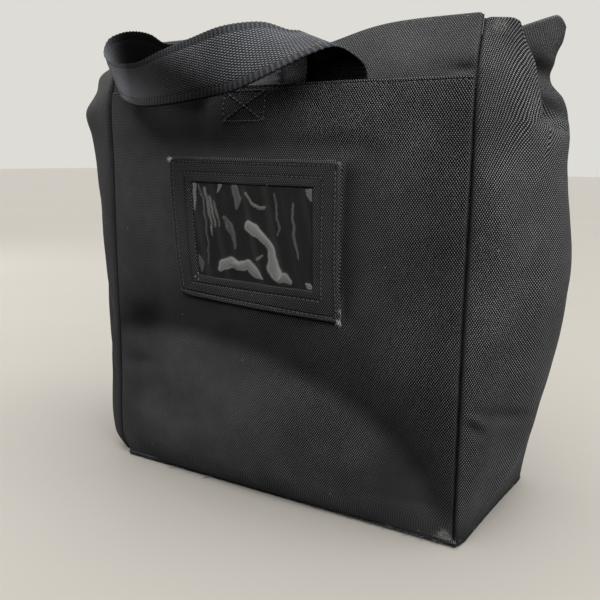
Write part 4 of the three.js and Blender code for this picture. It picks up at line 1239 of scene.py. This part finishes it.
box = [(-24.0, 230.5), (5.0, 230.5), (5.0, 247.5), (-24.0, 247.5)]
box_runs = []
for first, last in ((0, 1), (1, 2), (2, 3), (3, 0), (0, 2), (1, 3)):
    box_runs.append(on_front(np.linspace(box[first], box[last], 40), 0.15))
points, faces = sew(box_runs, 0.45)
dress("anchor_stitches", points, faces, (0.0, 0.0), thread, tone=1.25)

# %% [markdown]
# ## Loose fibres
# Rubbed binding sheds fibres, the worn right corner is fluffy, two thread ends hang out of the bottom seam
# and the corners of the card holder are frayed. Each fibre is a thin bent tube that starts inside what it
# grows from. Hair particles could do it too, but they would not be part of the mesh that is kept.

# %% Grow a fibre
FIBRE_RINGS, FIBRE_SIDES = 6, 4
chance = np.random.default_rng(11)
points, tones = [], []


def fibre(start, heading, length, bend, radius):
    t = np.linspace(0, 1, FIBRE_RINGS)[:, None]
    spine = start + heading * length * t + bend * length * t ** 2
    turn = np.linspace(0, 2 * math.pi, FIBRE_SIDES + 1)[:-1]
    sideways = unit(np.cross(heading, np.array([0.3, 0.5, 0.81])))
    other = unit(np.cross(heading, sideways))
    circle = np.cos(turn)[:, None] * sideways + np.sin(turn)[:, None] * other
    taper = (1 - 0.6 * t)[:, None] * radius
    return (spine[:, None] + circle[None] * taper).reshape(-1, 3)


def grow(start, heading, length, radius, tone=1.0):
    heading = unit(np.array(heading))
    bend = chance.normal(0, 0.35, 3) + np.array([0, 0, -0.15])
    tip_z = start[2] + heading[2] * length + bend[2] * length
    if tip_z < 0.25:
        bend[2] += (0.25 - tip_z) / length
    points.append(fibre(np.array(start), heading, length, bend, radius))
    tones.append(tone)


print("fibres start from seed 11")

# %% [markdown]
# Each place has its own number, length and direction of fibres: many short ones along the right of the
# binding, a few long thread ends, fluff on the corner and pale tufts on the card holder. All are drawn
# from one seeded source, so every run grows the same ones.

# %% Fray the edges
for spot in base_outline(GAP + 0.9)[0]:
    if spot[1] >= -56:
        continue
    for _ in range(5 if spot[0] > 28 else 1):
        heading = (chance.normal(0, 0.7), -1.0, chance.normal(-0.25, 0.35))
        start = (spot[0] + chance.normal(0, 0.5), spot[1] + 0.3, 1.5 + chance.uniform(-0.5, 0.9))
        grow(start, heading, chance.uniform(0.6, 2.0) * (1.3 if spot[0] > 60 else 0.8), 0.09)
for spot_x, length in ((-74, 4.2), (-76, 3.2), (-45, 3.6), (-46, 2.6), (97, 3.0)):
    for _ in range(3):
        start = (spot_x + chance.normal(0, 0.4), -60.0, 1.6)
        grow(start, (chance.normal(-0.5, 0.3), -1.0, -0.1), length, 0.14)
for _ in range(70):
    x, z = 119 + chance.normal(0, 3.0), 4 + abs(chance.normal(0, 2.4))
    heading = (chance.normal(0, 0.8), -0.8, chance.normal(0, 0.8))
    grow((x, front_y(x, z) + 0.25, z), heading, chance.uniform(0.5, 1.5), 0.07)
FRAYED = table("x z side fibres bright", (-65.4, 209, -1, 22, 8), (56.6, 121, 1, 18, 6),
               (56.4, 126.5, 1, 8, 5), (-42.5, 138.4, 0, 4, 8), (8.6, 195.8, 0, 4, 8))
for spot_x, spot_z, side, fibres, bright in zip(*FRAYED.values()):
    for _ in range(int(fibres)):
        x, z = spot_x + chance.normal(0, 0.8), spot_z + chance.normal(0, 0.7)
        heading = (0.5 * side + chance.normal(0, 0.5), -0.8, chance.normal(0, 0.6))
        start = (x, front_y(x, z) - CARD_STANDOFF - CARD_T + 0.6, z)
        grow(start, heading, chance.uniform(1.0, 2.2), 0.13, bright)
count, each = len(points), FIBRE_RINGS * FIBRE_SIDES
faces = []
for k in range(count):
    faces += tube_faces(FIBRE_RINGS, FIBRE_SIDES, each * k)
tones = np.repeat(tones, each)
dress("frayed_fibres", np.concatenate(points), faces, (0.0, 0.0), thread, tone=tones)
print("fibres:", count)
